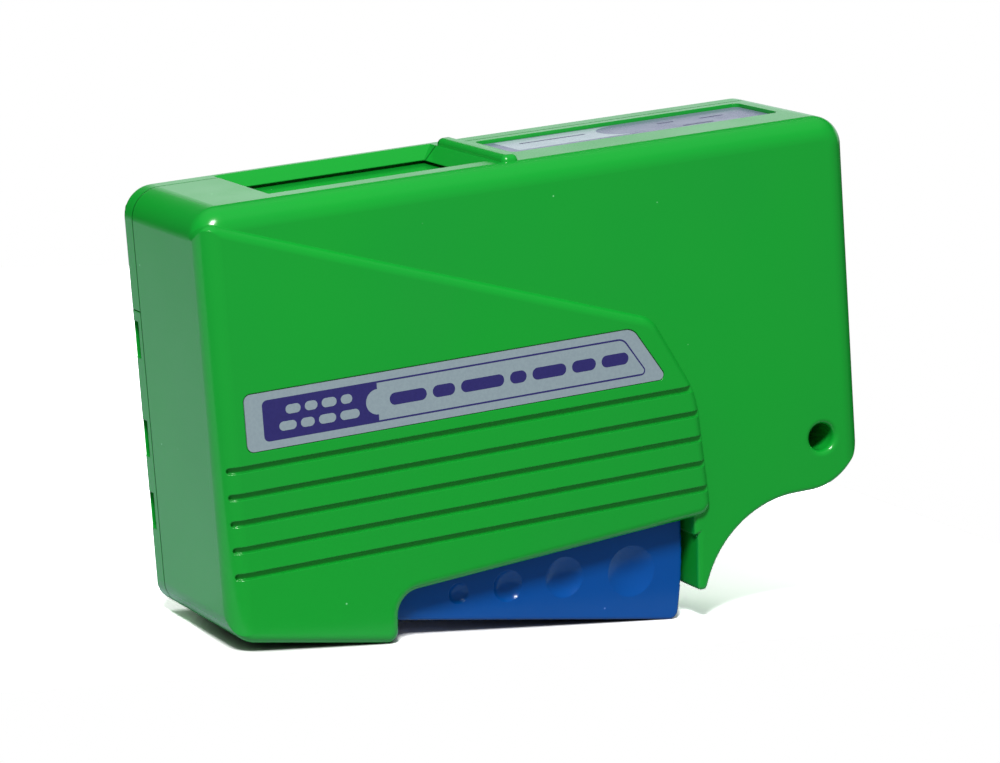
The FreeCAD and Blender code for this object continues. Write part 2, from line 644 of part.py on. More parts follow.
def rear_cover():
    cover = case_half(COVER_DEPTH, BACK_ROUND)
    cover = flip(cover.cut(prism(cavity_corners(), FRONT_INSIDE, COVER_DEPTH + CUT_PAST)))
    root = BACK_FACE - WALL / 2
    added = [
        hole_boss(SEAM, root),
        disc(*DRIVE_AXIS, HUB_RADIUS, PINION_FAR + SLIDE_GAP, root),
        disc(SUPPLY_X, SUPPLY_DROP, WASHER_RADIUS, WASHER_FAR, root),
        disc(PIVOT_X, PIVOT_DROP, BARREL_RADIUS, LEVER_FAR + SLIDE_GAP, root),
        block(WALL / 2, RAIL_RIGHT, RAIL_DROP, RAIL_DROP + RAIL_THICK, SHUTTER_FAR - RAIL_REACH, root),
        rib().common(block(0, LENGTH, -LENGTH, LENGTH, SEAM, WIDTH)),
    ]
    cover = fuse(cover, *added)
    cuts = [
        well(),
        disc(*DRIVE_AXIS, AXLE_RADIUS, GEAR_FAR, AXLE_TIP),
        disc(SUPPLY_X, SUPPLY_DROP, AXLE_RADIUS, REEL_FAR, SUPPLY_AXLE_TIP),
        disc(PIVOT_X, PIVOT_DROP, PIN_RADIUS, LEVER_FAR, PIN_FAR),
    ]
    cuts += [snap_window(drop, right) for drop, right in snap_places()]
    cuts += snap_slits()
    return drill_lanyard_hole(cover.cut(cuts), BACK_FACE)


def end_cap_space():
    return block(LENGTH - END_CAP_LENGTH, LENGTH + CUT_PAST, -LENGTH, LENGTH, -CUT_PAST, WIDTH + CUT_PAST)


def lever_underside(x):
    return LEVER_HEEL_DROP + LEVER_SLOPE * (x - LEVER_LEFT)


def lever_end(reach, lift, top_drop):
    """Top and bottom corner, and a point between, of an end curved about the pivot."""
    start_x = PIVOT_X + math.sqrt(reach ** 2 - (PIVOT_DROP - top_drop) ** 2)
    offset = lever_underside(PIVOT_X) - lift - PIVOT_DROP
    a = 1 + LEVER_SLOPE ** 2
    b = LEVER_SLOPE * offset
    run = (-b + math.sqrt(b ** 2 - a * (offset ** 2 - reach ** 2))) / a
    end_drop = PIVOT_DROP + offset + LEVER_SLOPE * run
    middle_drop = (top_drop + end_drop) / 2
    middle_x = PIVOT_X + math.sqrt(reach ** 2 - (PIVOT_DROP - middle_drop) ** 2)
    return (start_x, top_drop), (middle_x, middle_drop), (PIVOT_X + run, end_drop)


def lever_prism(reach, lift, left, top_drop, near, far):
    """Lever section: straight top, end curved about the pivot, sloping underside."""
    top, middle, bottom = lever_end(reach, lift, top_drop)
    heel = (left, lever_underside(left) - lift)
    start = (left, top_drop)
    spots = [point(x, drop, near) for x, drop in (start, top, middle, bottom, heel)]
    wire = Part.Wire([
        Part.makeLine(spots[0], spots[1]),
        Part.Arc(spots[1], spots[2], spots[3]).toShape(),
        Part.makeLine(spots[3], spots[4]),
        Part.makeLine(spots[4], spots[0]),
    ])
    return Part.Face(wire).extrude(ALONG_Y * (far - near))


def dimple(from_hook, rise, radius, depth):
    """Ball that leaves a shallow round dimple in the front of the lever."""
    x = HOOK_X - from_hook
    ball = (radius ** 2 + depth ** 2) / (2 * depth)
    return Part.makeSphere(ball, point(x, lever_underside(x) - rise, LEVER_NEAR + depth - ball))


def seat_drop():
    """Flat seat of the spring, just over the highest floor under its coils."""
    return lever_underside(SPRING_X - SPRING_RADIUS - SPRING_WIRE) - LEVER_LIFT - SEAT_RISE


def flank(pitch_radius, module, radius):
    """Half of a tooth's angle at a radius, for involute flanks."""
    base = pitch_radius * math.cos(PRESSURE_ANGLE)
    at_pitch = (math.pi * module - BACKLASH) / (4 * pitch_radius)
    local = math.acos(min(1.0, base / radius))
    involute = math.tan(local) - local
    return at_pitch + math.tan(PRESSURE_ANGLE) - PRESSURE_ANGLE - involute


def tooth(centre, pitch_radius, module, angle):
    """Corners of one tooth, in the order of rising angle."""
    root = pitch_radius - DEDENDUM * module
    tip = pitch_radius + ADDENDUM * module
    low = max(root, pitch_radius * math.cos(PRESSURE_ANGLE))
    rising = [(radius, flank(pitch_radius, module, radius)) for radius in (low, pitch_radius, tip)]
    if low - root > TOLERANCE:
        rising.insert(0, (root, rising[0][1]))
    corners = [polar(centre, radius, angle - half) for radius, half in rising]
    corners += [polar(centre, radius, angle + half) for radius, half in reversed(rising)]
    return corners


def polygon_prism(corners, near, far):
    return prism([(x, drop, 0) for x, drop in corners], near, far)


def gear(centre, teeth, module, space_angle, near, far):
    """Gear with the middle of a tooth space at the given angle."""
    step = 2 * math.pi / teeth
    corners = []
    for i in range(teeth):
        corners += tooth(centre, teeth * module / 2, module, space_angle + (i + 0.5) * step)
    return polygon_prism(corners, near, far)


def sector():
    """Toothed fan of the lever. A tooth points at the drive gear's axis at rest."""
    centre = (PIVOT_X, PIVOT_DROP)
    step = math.pi * SECTOR_MODULE / SECTOR_RADIUS
    first = -math.ceil(LEVER_TRAVEL / step) - SECTOR_SPARE_TEETH
    last = SECTOR_SPARE_TEETH
    root = SECTOR_RADIUS - DEDENDUM * SECTOR_MODULE
    corners = [centre, polar(centre, root, DRIVE_ANGLE + (first - 0.5) * step)]
    for i in range(first, last + 1):
        corners += tooth(centre, SECTOR_RADIUS, SECTOR_MODULE, DRIVE_ANGLE + i * step)
    corners.append(polar(centre, root, DRIVE_ANGLE + (last + 0.5) * step))
    near = GEAR_FAR + SECTOR_INSET
    return polygon_prism(corners, near, near + SECTOR_THICK)


def lever():
    body = lever_prism(LEVER_REACH, 0, LEVER_LEFT, LEVER_TOP_DROP, LEVER_NEAR, LEVER_FAR)
    tip = point(*lever_end(LEVER_REACH, 0, LEVER_TOP_DROP)[2], MIDDLE)
    tip_edge = [e for e in body.Edges if e.BoundBox.Center.distanceToPoint(tip) < TOLERANCE]
    body = body.makeFillet(LEVER_CORNER, tip_edge)
    body = body.makeFillet(LEVER_EDGE, edges_at(body, LEVER_NEAR) + edges_at(body, LEVER_FAR))
    inside_left = PIVOT_X + BARREL_RADIUS
    hollow = lever_prism(LEVER_REACH - LEVER_WALL, LEVER_LIFT, inside_left, LEVER_TOP_DROP - CUT_PAST,
                         LEVER_NEAR + LEVER_WALL, LEVER_FAR - LEVER_WALL)
    body = body.cut(hollow)
    barrel = disc(PIVOT_X, PIVOT_DROP, BARREL_RADIUS, LEVER_NEAR, LEVER_FAR)
    floor = lever_underside(SPRING_X) - LEVER_WALL / 2
    under_spring = point(SPRING_X, floor, MIDDLE)
    seat = Part.makeCylinder(SPRING_RADIUS + SPRING_WIRE, floor - seat_drop(), under_spring)
    stud = Part.makeCylinder(STUD_RADIUS, floor - seat_drop() + STUD_HEIGHT, under_spring)
    body = fuse(body, barrel, sector(), seat, stud)
    dimples = [dimple(*sizes) for sizes in DIMPLES]
    dimples += [flip(cutter) for cutter in dimples]
    bore = disc(PIVOT_X, PIVOT_DROP, PIN_RADIUS + PIN_CLEARANCE, LEVER_NEAR, LEVER_FAR)
    return body.cut(dimples + [bore])


def shutter():
    plate = block(WELL_LEFT - SHUTTER_OVERLAP, WELL_RIGHT + SHUTTER_OVERLAP, SHUTTER_DROP, SHUTTER_UNDER,
                  SHUTTER_NEAR, SHUTTER_FAR)
    root = RACK_PITCH_DROP - DEDENDUM * RACK_MODULE
    tip = RACK_PITCH_DROP + ADDENDUM * RACK_MODULE
    lean = math.tan(PRESSURE_ANGLE)
    step = math.pi * RACK_MODULE
    half = (step - BACKLASH) / 4
    at_root = half + lean * DEDENDUM * RACK_MODULE
    at_tip = half - lean * ADDENDUM * RACK_MODULE
    first = math.ceil((RACK_LEFT + at_root - DRIVE_X) / step)
    last = math.floor((RACK_SPARE - at_root) / step)
    bar_top = (SHUTTER_DROP + SHUTTER_UNDER) / 2
    corners = [(RACK_LEFT, bar_top), (RACK_LEFT, root)]
    for i in range(first, last + 1):
        middle = DRIVE_X + i * step
        for offset, drop in ((-at_root, root), (-at_tip, tip), (at_tip, tip), (at_root, root)):
            corners.append((middle + offset, drop))
    corners += [(DRIVE_X + RACK_SPARE, root), (DRIVE_X + RACK_SPARE, bar_top)]
    return fuse(plate, polygon_prism(corners, GEAR_NEAR, GEAR_FAR))


def pawl(nose_angle, nose_radius, post):
    """Pawl whose nose points at the ratchet, with an eye on its post."""
    nose = polar(DRIVE_AXIS, nose_radius, nose_angle)
    back = polar(DRIVE_AXIS, nose_radius + PAWL_NOSE, nose_angle)
    heel = polar(DRIVE_AXIS, nose_radius + PAWL_NOSE / 2, nose_angle + PAWL_NOSE_TURN)
    way = math.atan2(back[1] - post[1], post[0] - back[0])
    inner = polar(post, PAWL_ARM / 2, way + math.pi / 2)
    outer = polar(post, PAWL_ARM / 2, way - math.pi / 2)
    arm = polygon_prism([nose, back, outer, inner, heel], PAWL_NEAR, PAWL_FAR)
    eye = disc(*post, PAWL_EYE_RADIUS, PAWL_NEAR, PAWL_FAR)
    return fuse(arm, eye).cut(disc(*post, PAWL_POST_RADIUS + PAWL_CLEARANCE, PAWL_NEAR, PAWL_FAR))


def drive_post():
    """Centre of the drive gear's post for the drive pawl."""
    return polar(DRIVE_AXIS, PAWL_PIVOT_RADIUS, PAWL_ANGLE + PAWL_LEAD)


def drive_pawl():
    nose_angle = PAWL_ANGLE + PAWL_NOSE_GAP / RATCHET_RADIUS
    return pawl(nose_angle, RATCHET_RADIUS - RATCHET_DEPTH + PAWL_NOSE_GAP, drive_post())


def anti_reverse_pawl():
    return pawl(STOP_POST_ANGLE - STOP_LEAD, RATCHET_RADIUS + PAWL_GAP, stop_post())


def drive_gear():
    disc_teeth = gear(DRIVE_AXIS, GEAR_TEETH, RACK_MODULE, math.pi / 2, GEAR_NEAR, GEAR_FAR)
    pinion = gear(DRIVE_AXIS, PINION_TEETH, SECTOR_MODULE, DRIVE_ANGLE + math.pi, GEAR_FAR, PINION_FAR)
    post = disc(*drive_post(), PAWL_POST_RADIUS, PAWL_NEAR, GEAR_FAR)
    cuts = [disc(*DRIVE_AXIS, AXLE_BORE, GEAR_NEAR, PINION_FAR)]
    ring = (GEAR_RADIUS + RATCHET_RADIUS) / 2
    for i in range(GEAR_HOLES):
        place = polar(DRIVE_AXIS, ring, PAWL_ANGLE + PAWL_LEAD + (i + 0.5) * 2 * math.pi / GEAR_HOLES)
        cuts.append(disc(*place, GEAR_HOLE_RADIUS, GEAR_NEAR, GEAR_FAR))
    return fuse(disc_teeth, pinion, post).cut(cuts)


def spool(x, drop):
    hub = disc(x, drop, HUB_RADIUS, REEL_NEAR, REEL_FAR)
    near_flange = disc(x, drop, FLANGE_RADIUS, REEL_NEAR, REEL_NEAR + FLANGE_THICK)
    far_flange = disc(x, drop, FLANGE_RADIUS, REEL_FAR - FLANGE_THICK, REEL_FAR)
    return fuse(hub, near_flange, far_flange)


def ratchet():
    step = 2 * math.pi / RATCHET_TEETH
    corners = []
    for i in range(RATCHET_TEETH):
        start = PAWL_ANGLE + i * step
        corners.append(polar(DRIVE_AXIS, RATCHET_RADIUS - RATCHET_DEPTH, start))
        corners.append(polar(DRIVE_AXIS, RATCHET_RADIUS, start + (1 - RATCHET_LEAN) * step))
    return polygon_prism(corners, REEL_FAR, RATCHET_FAR)


def take_up_spool():
    return fuse(spool(*DRIVE_AXIS), ratchet()).cut(disc(*DRIVE_AXIS, AXLE_BORE, REEL_NEAR, RATCHET_FAR))


def supply_spool():
    return spool(SUPPLY_X, SUPPLY_DROP).cut(disc(SUPPLY_X, SUPPLY_DROP, AXLE_BORE, REEL_NEAR, REEL_FAR))


def guide_roller(x):
    body = disc(x, ROLLER_DROP, ROLLER_RADIUS, ROLLER_NEAR, ROLLER_FAR)
    near_rim = disc(x, ROLLER_DROP, ROLLER_RADIUS + ROLLER_RIM, ROLLER_NEAR, ROLLER_NEAR + ROLLER_RIM)
    far_rim = disc(x, ROLLER_DROP, ROLLER_RADIUS + ROLLER_RIM, ROLLER_FAR - ROLLER_RIM, ROLLER_FAR)
    bore = disc(x, ROLLER_DROP, ROLLER_POST_RADIUS + AXLE_CLEARANCE, ROLLER_NEAR, ROLLER_FAR)
    return fuse(body, near_rim, far_rim).cut(bore)


def touch_points(first, first_radius, second, second_radius):
    """Ends of the straight run between two rounds. A radius is negative for a run on the right."""
    way = second - first
    reach = way.Length
    along = way * (1 / reach)
    across = FreeCAD.Vector(-along.z, 0, along.x)
    lean = (second_radius - first_radius) / reach
    normal = along * lean + across * math.sqrt(1 - lean ** 2)
    return first - normal * first_radius, second - normal * second_radius


def tape_side(extra):
    """One face of the tape, from the supply roll over both rollers to the take-up roll."""
    rolls = [
        (point(SUPPLY_X, SUPPLY_DROP), SUPPLY_ROLL_RADIUS + ROLL_GAP + extra),
        (point(RIGHT_ROLLER_X, ROLLER_DROP), ROLLER_RADIUS + TAPE_GAP + extra),
        (point(LEFT_ROLLER_X, ROLLER_DROP), ROLLER_RADIUS + TAPE_GAP + extra),
        (point(DRIVE_X, DRIVE_DROP), -(TAKE_UP_ROLL_RADIUS + ROLL_GAP + TAPE_THICK - extra)),
    ]
    runs = []
    for i in range(3):
        runs.append(touch_points(rolls[i][0], rolls[i][1], rolls[i + 1][0], rolls[i + 1][1]))
    edges = [Part.makeLine(*runs[0])]
    for i in (1, 2):
        start, end = runs[i - 1][1], runs[i][0]
        centre, radius = rolls[i]
        halfway = (start - centre) + (end - centre)
        outward = (start - centre).cross(end - centre).y
        halfway = halfway.normalize() * radius
        if outward > 0:
            halfway = -halfway
        edges.append(Part.Arc(start, centre + halfway, end).toShape())
        edges.append(Part.makeLine(*runs[i]))
    return edges, runs[0][0], runs[2][1]


def cleaning_tape():
    inner, inner_start, inner_end = tape_side(0)
    outer, outer_start, outer_end = tape_side(TAPE_THICK)
    ends = [Part.makeLine(inner_start, outer_start), Part.makeLine(inner_end, outer_end)]
    wire = Part.Wire(Part.__sortEdges__(inner + outer + ends))
    strip = Part.Face(wire).extrude(ALONG_Y * (TAPE_FAR - TAPE_NEAR))
    return strip.translated(ALONG_Y * TAPE_NEAR)


def window_plate():
    plate = block(TRAY_LEFT, TRAY_RIGHT, PLATE_DROP, PLATE_UNDER, RAIL_FAR, TRAY_FAR)
    near, far = TAPE_NEAR + WINDOW_EDGE, TAPE_FAR - WINDOW_EDGE
    return plate.cut(block(WINDOW_LEFT, WINDOW_RIGHT, PLATE_DROP, PLATE_UNDER, near, far))


def pad_holder():
    floor = block(TRAY_LEFT, TRAY_RIGHT, TRAY_FLOOR_DROP, TRAY_UNDER, RAIL_FAR, TRAY_FAR)
    near_wall = block(TRAY_LEFT, TRAY_RIGHT, PLATE_UNDER, TRAY_UNDER, RAIL_FAR, RAIL_FAR + TRAY_WALL)
    far_wall = block(TRAY_LEFT, TRAY_RIGHT, PLATE_UNDER, TRAY_UNDER, TRAY_FAR - TRAY_WALL, TRAY_FAR)
    return fuse(floor, near_wall, far_wall)


def wiping_pad():
    pad = block(WINDOW_LEFT, WINDOW_RIGHT, PAD_TOP_DROP, TRAY_FLOOR_DROP, TAPE_NEAR, TAPE_FAR)
    top_edges = [e for e in pad.Edges if e.BoundBox.ZMin > -PAD_TOP_DROP - TOLERANCE]
    return pad.makeFillet(PAD_ROUND, [e for e in top_edges if e.BoundBox.XLength < TOLERANCE])


def return_spring():
    lowest = seat_drop() - SPRING_WIRE / 2
    height = lowest - SHELF_DROP - SPRING_WIRE / 2
    helix = Part.makeHelix(height / SPRING_TURNS, height, SPRING_RADIUS)
    section = Part.Wire(Part.makeCircle(SPRING_WIRE / 2, FreeCAD.Vector(SPRING_RADIUS, 0, 0), ALONG_Y))
    coil = Part.Wire(helix.Edges).makePipeShell([section], True, True)
    return coil.translated(point(SPRING_X, lowest, MIDDLE))


def pieces():
    """Every piece of the cassette by name, in the case frame."""
    front, rear, cap_space = front_shell(), rear_cover(), end_cap_space()
    return {
        "front_shell": front.cut(cap_space),
        "front_end_cap": front.common(cap_space),
        "rear_cover": rear.cut(cap_space),
        "rear_end_cap": rear.common(cap_space),
        "front_label": prism(front_label_corners(LABEL_GAP), 0, LABEL_THICK),
        "top_label": top_label_box(LABEL_GAP, TOP_LABEL_DEPTH - LABEL_THICK, TOP_LABEL_DEPTH),
        "lever": lever(),
        "lever_pin": disc(PIVOT_X, PIVOT_DROP, PIN_RADIUS, PIN_NEAR, PIN_FAR),
        "return_spring": return_spring(),
        "shutter": shutter(),
        "window_plate": window_plate(),
        "pad_holder": pad_holder(),
        "wiping_pad": wiping_pad(),
        "cleaning_tape": cleaning_tape(),
        "drive_gear": drive_gear(),
        "drive_pawl": drive_pawl(),
        "anti_reverse_pawl": anti_reverse_pawl(),
        "take_up_spool": take_up_spool(),
        "take_up_roll": tube(*DRIVE_AXIS, TAKE_UP_ROLL_RADIUS, HUB_RADIUS, TAPE_NEAR, TAPE_FAR),
        "supply_spool": supply_spool(),
        "supply_roll": tube(SUPPLY_X, SUPPLY_DROP, SUPPLY_ROLL_RADIUS, HUB_RADIUS, TAPE_NEAR, TAPE_FAR),
        "supply_brake": tube(SUPPLY_X, SUPPLY_DROP, WASHER_RADIUS, AXLE_RADIUS, WASHER_NEAR, WASHER_FAR),
        "left_guide_roller": guide_roller(LEFT_ROLLER_X),
        "right_guide_roller": guide_roller(RIGHT_ROLLER_X),
    }


def standing():
    """Turn about y, and height of the table, when the cassette stands by itself."""
    foot = point(FOOT_LENGTH, FOOT_DROP)
    gap_corner = point(FOOT_LENGTH + FOOT_LEAN, GAP_DROP + GAP_FALL)
    foot_round = corner_round(gap_corner, foot, point(0, foot_drop(0)), FOOT_CORNER)[3]
    lift = LEVER_CORNER * math.hypot(1, LEVER_SLOPE)
    lever_round = point(*lever_end(LEVER_REACH - LEVER_CORNER, lift, LEVER_TOP_DROP)[2])
    span = lever_round - foot_round
    slope = math.atan2(span.z, span.x) - math.asin((LEVER_CORNER - FOOT_CORNER) / span.Length)
    table = foot_round.z * math.cos(slope) - foot_round.x * math.sin(slope) - FOOT_CORNER
    return slope, table


def main():
    os.makedirs("parts", exist_ok=True)
    slope, table = standing()
    made = pieces()
    box = FreeCAD.BoundBox()
    for name in made:
        made[name] = made[name].rotated(point(0, 0), ALONG_Y, math.degrees(slope))
        box.add(made[name].optimalBoundingBox(False))
    home = FreeCAD.Vector(-box.Center.x, -MIDDLE, -table)
    for name, shape in made.items():
        shape.translated(home).exportStep(f"parts/{name}.step")


main()
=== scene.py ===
"""Looks of the fibre optic cleaning cassette, built around its solids.

Places are in the case frame, in millimetres: x from the left end to the right, y from the front grip face
to the back, and drop below the flat top. The cassette leans on its foot and lever, so at() gives the real
place in the scene, in metres.
"""

import json
import math

import bmesh
import bpy
from mathutils import Matrix, Vector

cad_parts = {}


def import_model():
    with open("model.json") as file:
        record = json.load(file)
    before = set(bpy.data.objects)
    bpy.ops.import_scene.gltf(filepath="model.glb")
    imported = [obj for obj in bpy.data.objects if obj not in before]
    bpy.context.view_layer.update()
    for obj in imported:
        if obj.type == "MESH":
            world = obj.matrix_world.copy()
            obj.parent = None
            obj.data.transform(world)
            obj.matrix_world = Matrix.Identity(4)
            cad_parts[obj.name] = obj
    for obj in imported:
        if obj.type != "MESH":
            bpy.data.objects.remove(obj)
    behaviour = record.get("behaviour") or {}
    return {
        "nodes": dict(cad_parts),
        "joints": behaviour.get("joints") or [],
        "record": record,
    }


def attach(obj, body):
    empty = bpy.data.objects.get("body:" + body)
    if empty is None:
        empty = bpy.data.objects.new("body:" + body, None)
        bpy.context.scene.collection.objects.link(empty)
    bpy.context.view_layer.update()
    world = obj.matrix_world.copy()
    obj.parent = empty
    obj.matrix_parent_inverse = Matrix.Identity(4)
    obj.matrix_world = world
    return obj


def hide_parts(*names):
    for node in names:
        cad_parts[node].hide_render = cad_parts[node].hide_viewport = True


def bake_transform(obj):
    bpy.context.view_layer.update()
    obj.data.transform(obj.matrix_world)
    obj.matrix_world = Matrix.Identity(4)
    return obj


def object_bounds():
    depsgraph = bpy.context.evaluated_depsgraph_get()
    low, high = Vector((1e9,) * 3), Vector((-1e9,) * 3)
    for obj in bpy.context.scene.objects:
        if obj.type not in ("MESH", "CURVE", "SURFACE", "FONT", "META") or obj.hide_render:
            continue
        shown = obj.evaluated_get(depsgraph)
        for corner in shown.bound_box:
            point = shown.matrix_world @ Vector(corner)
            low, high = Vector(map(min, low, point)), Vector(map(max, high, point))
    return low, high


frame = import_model()
cad_low, cad_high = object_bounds()
nodes = frame["nodes"]
joints = {joint["name"]: joint for joint in frame["joints"]}

# Case frame: the lever's pivot fixes it, and the shutter slides along it
MM = 0.001
PIVOT_X = 12.0
PIVOT_DROP = 66.0
PIVOT = Vector(joints["lever_press"]["pos_m"])
ALONG = Vector(joints["shutter_slide"]["axis"]).normalized()
INWARD = Vector((0, 1, 0))
UPWARD = ALONG.cross(INWARD)
MIDDLE = cad_high.y / MM    # y of the case half-way to its back

# Camera, in the case frame
CAMERA_PLACE = (-232.3, -593.7, -112.45)
CAMERA_RIGHT = (0.8942, -0.4424, -0.0685)
CAMERA_FORWARD = (0.4192, 0.8812, -0.2187)
LENS = 148.8
SENSOR = 36.0
CLIP_START = 0.05           # in metres, as is the end
CLIP_END = 20.0

# Light and floor, in metres. A lamp has its direction from the object, distance, size and the level at
# which it lights a face that looks straight at it, where 1 shows a colour as it is written. The last value
# says whether it gives highlights.
TARGET = Vector((0, 0, 0.04))
LAMPS = {
    "key": ((-0.37, -0.57, 0.735), 1.0, 0.24, 1.18, True),
    "rear": ((0.55, 0.6, 0.58), 1.0, 0.5, 0.35, False),
}
AMBIENT_SIDE = 0.08         # light from the sides, and how much more comes from front and back
AMBIENT_FRONT = 0.46
MIRRORED_FRONT = 0.15       # glossy faces show a white studio low behind, and these levels elsewhere
MIRRORED_BACK = 0.02
MIRRORED_TOP = 0.35
MIRRORED_TINT = (0.88, 0.94, 1.0, 1.0)
FLOOR_BOUNCE = (0.34, 0.4, 0.46, 1.0)       # floor's colour as it lights the object
FLOOR_MIRRORED = (0.45, 0.61, 0.63, 1.0)    # and as glossy faces show it
FLOOR_SEEN = 2.3            # brightness of the floor for the camera, with painted shade near the object
PAINTED_SHADE_REACH = (0.005, 0.001)      # how far that painted shade reaches, at the object's front and at its back
FLOOR_LOW = (-0.45, -0.03)  # near left and far right corner of the floor
FLOOR_HIGH = (0.12, 0.4)

# Where that studio starts and stops to change. Directions run from -1 to 1: side to the right, depth to the
# back and height upwards.
WHITE_BEHIND = (0.0, 0.4)
WHITE_RIGHT = (-0.1, 0.2)
WHITE_OVER = (-0.06, 0.06)
WHITE_UNDER = (0.24, 0.36)
FRONT_FADES = (-0.3, 0.1)
TOP_SHOWS = (0.5, 0.9)

# Materials. A noise is its scale and detail. What shows of it is the levels at which a colour starts and
# stops to mix in, and how far it does. A depth is the height of a bump.
SHINE_LEVELS = (0.2, 0.8)   # levels at which the roughness starts and stops to change
FLOW = (30.0, 1.0)          # slow marks in the plastic
FLOW_SHOWS = (0.25, 0.75, 1.0)
PLASTIC_SHINE = (70.0, 2.0)
PLASTIC_SKIN = (4200.0, 1.0)
PLASTIC_DEPTH = 0.002
DUST_SCALE = 260.0
DUST_RADII = (0.03, 0.048)  # a speck fades out between these, in cells of its pattern
DUST_SHARES = (0.12, 0.1212)        # cells with a number below these hold a speck
FILM_GRAIN = (1900.0, 3.0)
FILM_SHOWS = (0.3, 0.7, 0.6)
FILM_SHINE = (240.0, 3.0)
FILM_SKIN = (2600.0, 2.0)
FILM_DEPTH = 0.002
STEEL_STREAKS = (700.0, 6.0)
STEEL_SHOWS = (0.3, 0.7, 0.4)
STEEL_SHINE = (1500.0, 4.0)
STEEL_SKIN = (4200.0, 3.0)
STEEL_DEPTH = 0.004
FIBRE_DETAIL = 8.0
FIBRE_SHOWS = (0.3, 0.7, 0.7)
FIBRE_SHEEN = 0.3
WEAVE_HOLLOW_SHADE = (0.8, 0.2, 0.8)       # painted shade, in the low places between the threads
WEAVE_DUST = (120.0, 3.0)
WEAVE_DUST_SHOWS = (0.4, 0.7, 0.4)
WEAVE_ROUGHNESS = 0.75
WEAVE_SHEEN = 0.4
EDGE_ROUND = 0.25           # sharp edges of the mouldings look rounded by this much
EDGE_SAMPLES = 4
FLUSH_REACH = 1.0           # but not this near to the joint of the end caps
SEAM_FROM_BACK = 5.8        # plane in which the two halves of the case meet, drawn as a dark line of painted shade
SEAM_WIDTH = 0.4

# Inputs and output of a Mix node, by the kind of what it mixes
MIX_SOCKETS = {"FLOAT": (2, 3, 0), "VECTOR": (4, 5, 1), "RGBA": (6, 7, 2)}

# Prints on the labels
PRINT_RISE = 0.02           # ink stands this far out of the label
PRINT_SINK = 0.05
ARC_STEPS = 10
PILL_ROUND = 0.49           # round ends of a bar, as a share of its height
FIELD_INSET = 1.3           # coloured field to the upper and lower edges of the front label
FIELD_LEFT = 3.0
FIELD_LENGTH = 20.1
FIELD_ROUND = 0.9
BITE_RADIUS = 2.1
LINE_WIDTH = 0.28
LINE_END_TOP = 7.0          # frame's right corners to the label's right end
LINE_END_BOTTOM = 2.7
LINE_ROUND_TOP = 2.0
LINE_ROUND_BOTTOM = 0.8
LINE_INSET_TOP = 0.5        # inner side of those corners, in widths of the line
LINE_INSET_BOTTOM = 1.5
# Rows of marks: left end, lengths, and the drop below the label's top
MARK_ROWS = ((7.0, (2.6, 2.2, 2.6, 2.0), 2.6), (5.7, (3.0, 2.4, 3.0, 3.4), 5.2))
MARK_HEIGHT = 1.5
MARK_GAP = 0.75
BARS_LEFT = 25.2
BARS = (6.6, 4.0, 7.8, 3.0, 6.2, 4.4, 5.0)
BAR_HEIGHT = 2.0
BAR_GAP = 1.1
PANE_LEFT = 3.1             # pale pane on the top label
PANE_NEAR = 3.9
PANE_FAR = 0.7
PANE_RIGHT = 25.5
PANE_ROUND = 0.5
# Dashes: left end, right end, middle and height
DASHES = (
    (6.0, 18.4, 9.6, 0.6),
    (32.0, 35.2, 9.2, 0.35),
    (34.4, 40.2, 4.2, 0.45),
    (40.0, 44.5, 8.6, 0.35),
)

# Cleaning tape, its rolls and the pad under it
TAPE_THICK = 0.16
TAPE_SOLID_THICK = 0.2      # thickness of the plain solid, which gives the place
TAPE_ROLL_GAP = 0.3         # room between that solid and a roll
TAPE_CELL = 0.8             # size of a cell of the mesh
TAPE_ARC_STEPS = 12
TURN_PITCH = 0.35           # one ridge on a roll's side
TURN_RELIEF = 0.06
TURN_SHARE = 0.9            # flat part of a ridge
ROLL_STEPS = 72
PAD_CELLS = (48, 28, 6)     # cells of the mesh along, across and down
PAD_CROWN = 0.55            # upper edges fall away by this much
PAD_PINCH = 0.3             # sides pull in by this much half-way up
PAD_CORNER = 0.6            # corners pull in by this much
PAD_EDGE = 10               # power of the crown, larger is flatter in the middle
PAD_MERGE = 0.001           # points closer than this are one

# Return spring of the lever
SPRING_WIRE = 0.9
SPRING_TURNS = 5            # open turns
SPRING_CLOSED = 1           # turns at each end that lie on their neighbours
SPRING_STEPS = 40           # points in one turn


def turned(vector):
    """Direction of the case frame, in the frame of the scene."""
    return vector[0] * ALONG + vector[1] * INWARD + vector[2] * UPWARD


def at(x, y, drop):
    """Place in the scene of a place in the case frame."""
    return PIVOT + MM * turned((x - PIVOT_X, y - MIDDLE, PIVOT_DROP - drop))


def in_case(place):
    """x, y and drop of a place in the scene."""
    offset = (place - PIVOT) / MM
    return PIVOT_X + offset.dot(ALONG), MIDDLE + offset.y, PIVOT_DROP - offset.dot(UPWARD)


def case_corners(node):
    """Lowest and highest x, y and drop of a solid."""
    places = [in_case(vertex.co) for vertex in nodes[node].data.vertices]
    return [min(axis) for axis in zip(*places)], [max(axis) for axis in zip(*places)]


def srgb(red, green, blue):
    """Colour as seen on screen, from 0 to 255, as the linear colour that a shader takes."""
    linear = []
    for value in (red, green, blue):
        share = value / 255
        linear.append(share / 12.92 if share <= 0.04045 else ((share + 0.055) / 1.055) ** 2.4)
    return (*linear, 1.0)


def grey(level):
    return (level, level, level, 1.0)


def added(tree, kind, **settings):
    """New node with its settings."""
    node = tree.nodes.new(kind)
    for setting, value in settings.items():
        setattr(node, setting, value)
    return node


def mapped(tree, value, low, high, new_low, new_high):
    """Value moved smoothly from one range to another, and held at its ends."""
    node = added(tree, "ShaderNodeMapRange", interpolation_type="SMOOTHSTEP")
    sockets = ("From Min", "From Max", "To Min", "To Max")
    for socket, number in zip(sockets, (low, high, new_low, new_high)):
        node.inputs[socket].default_value = number
    tree.links.new(value, node.inputs["Value"])
    return node.outputs["Result"]


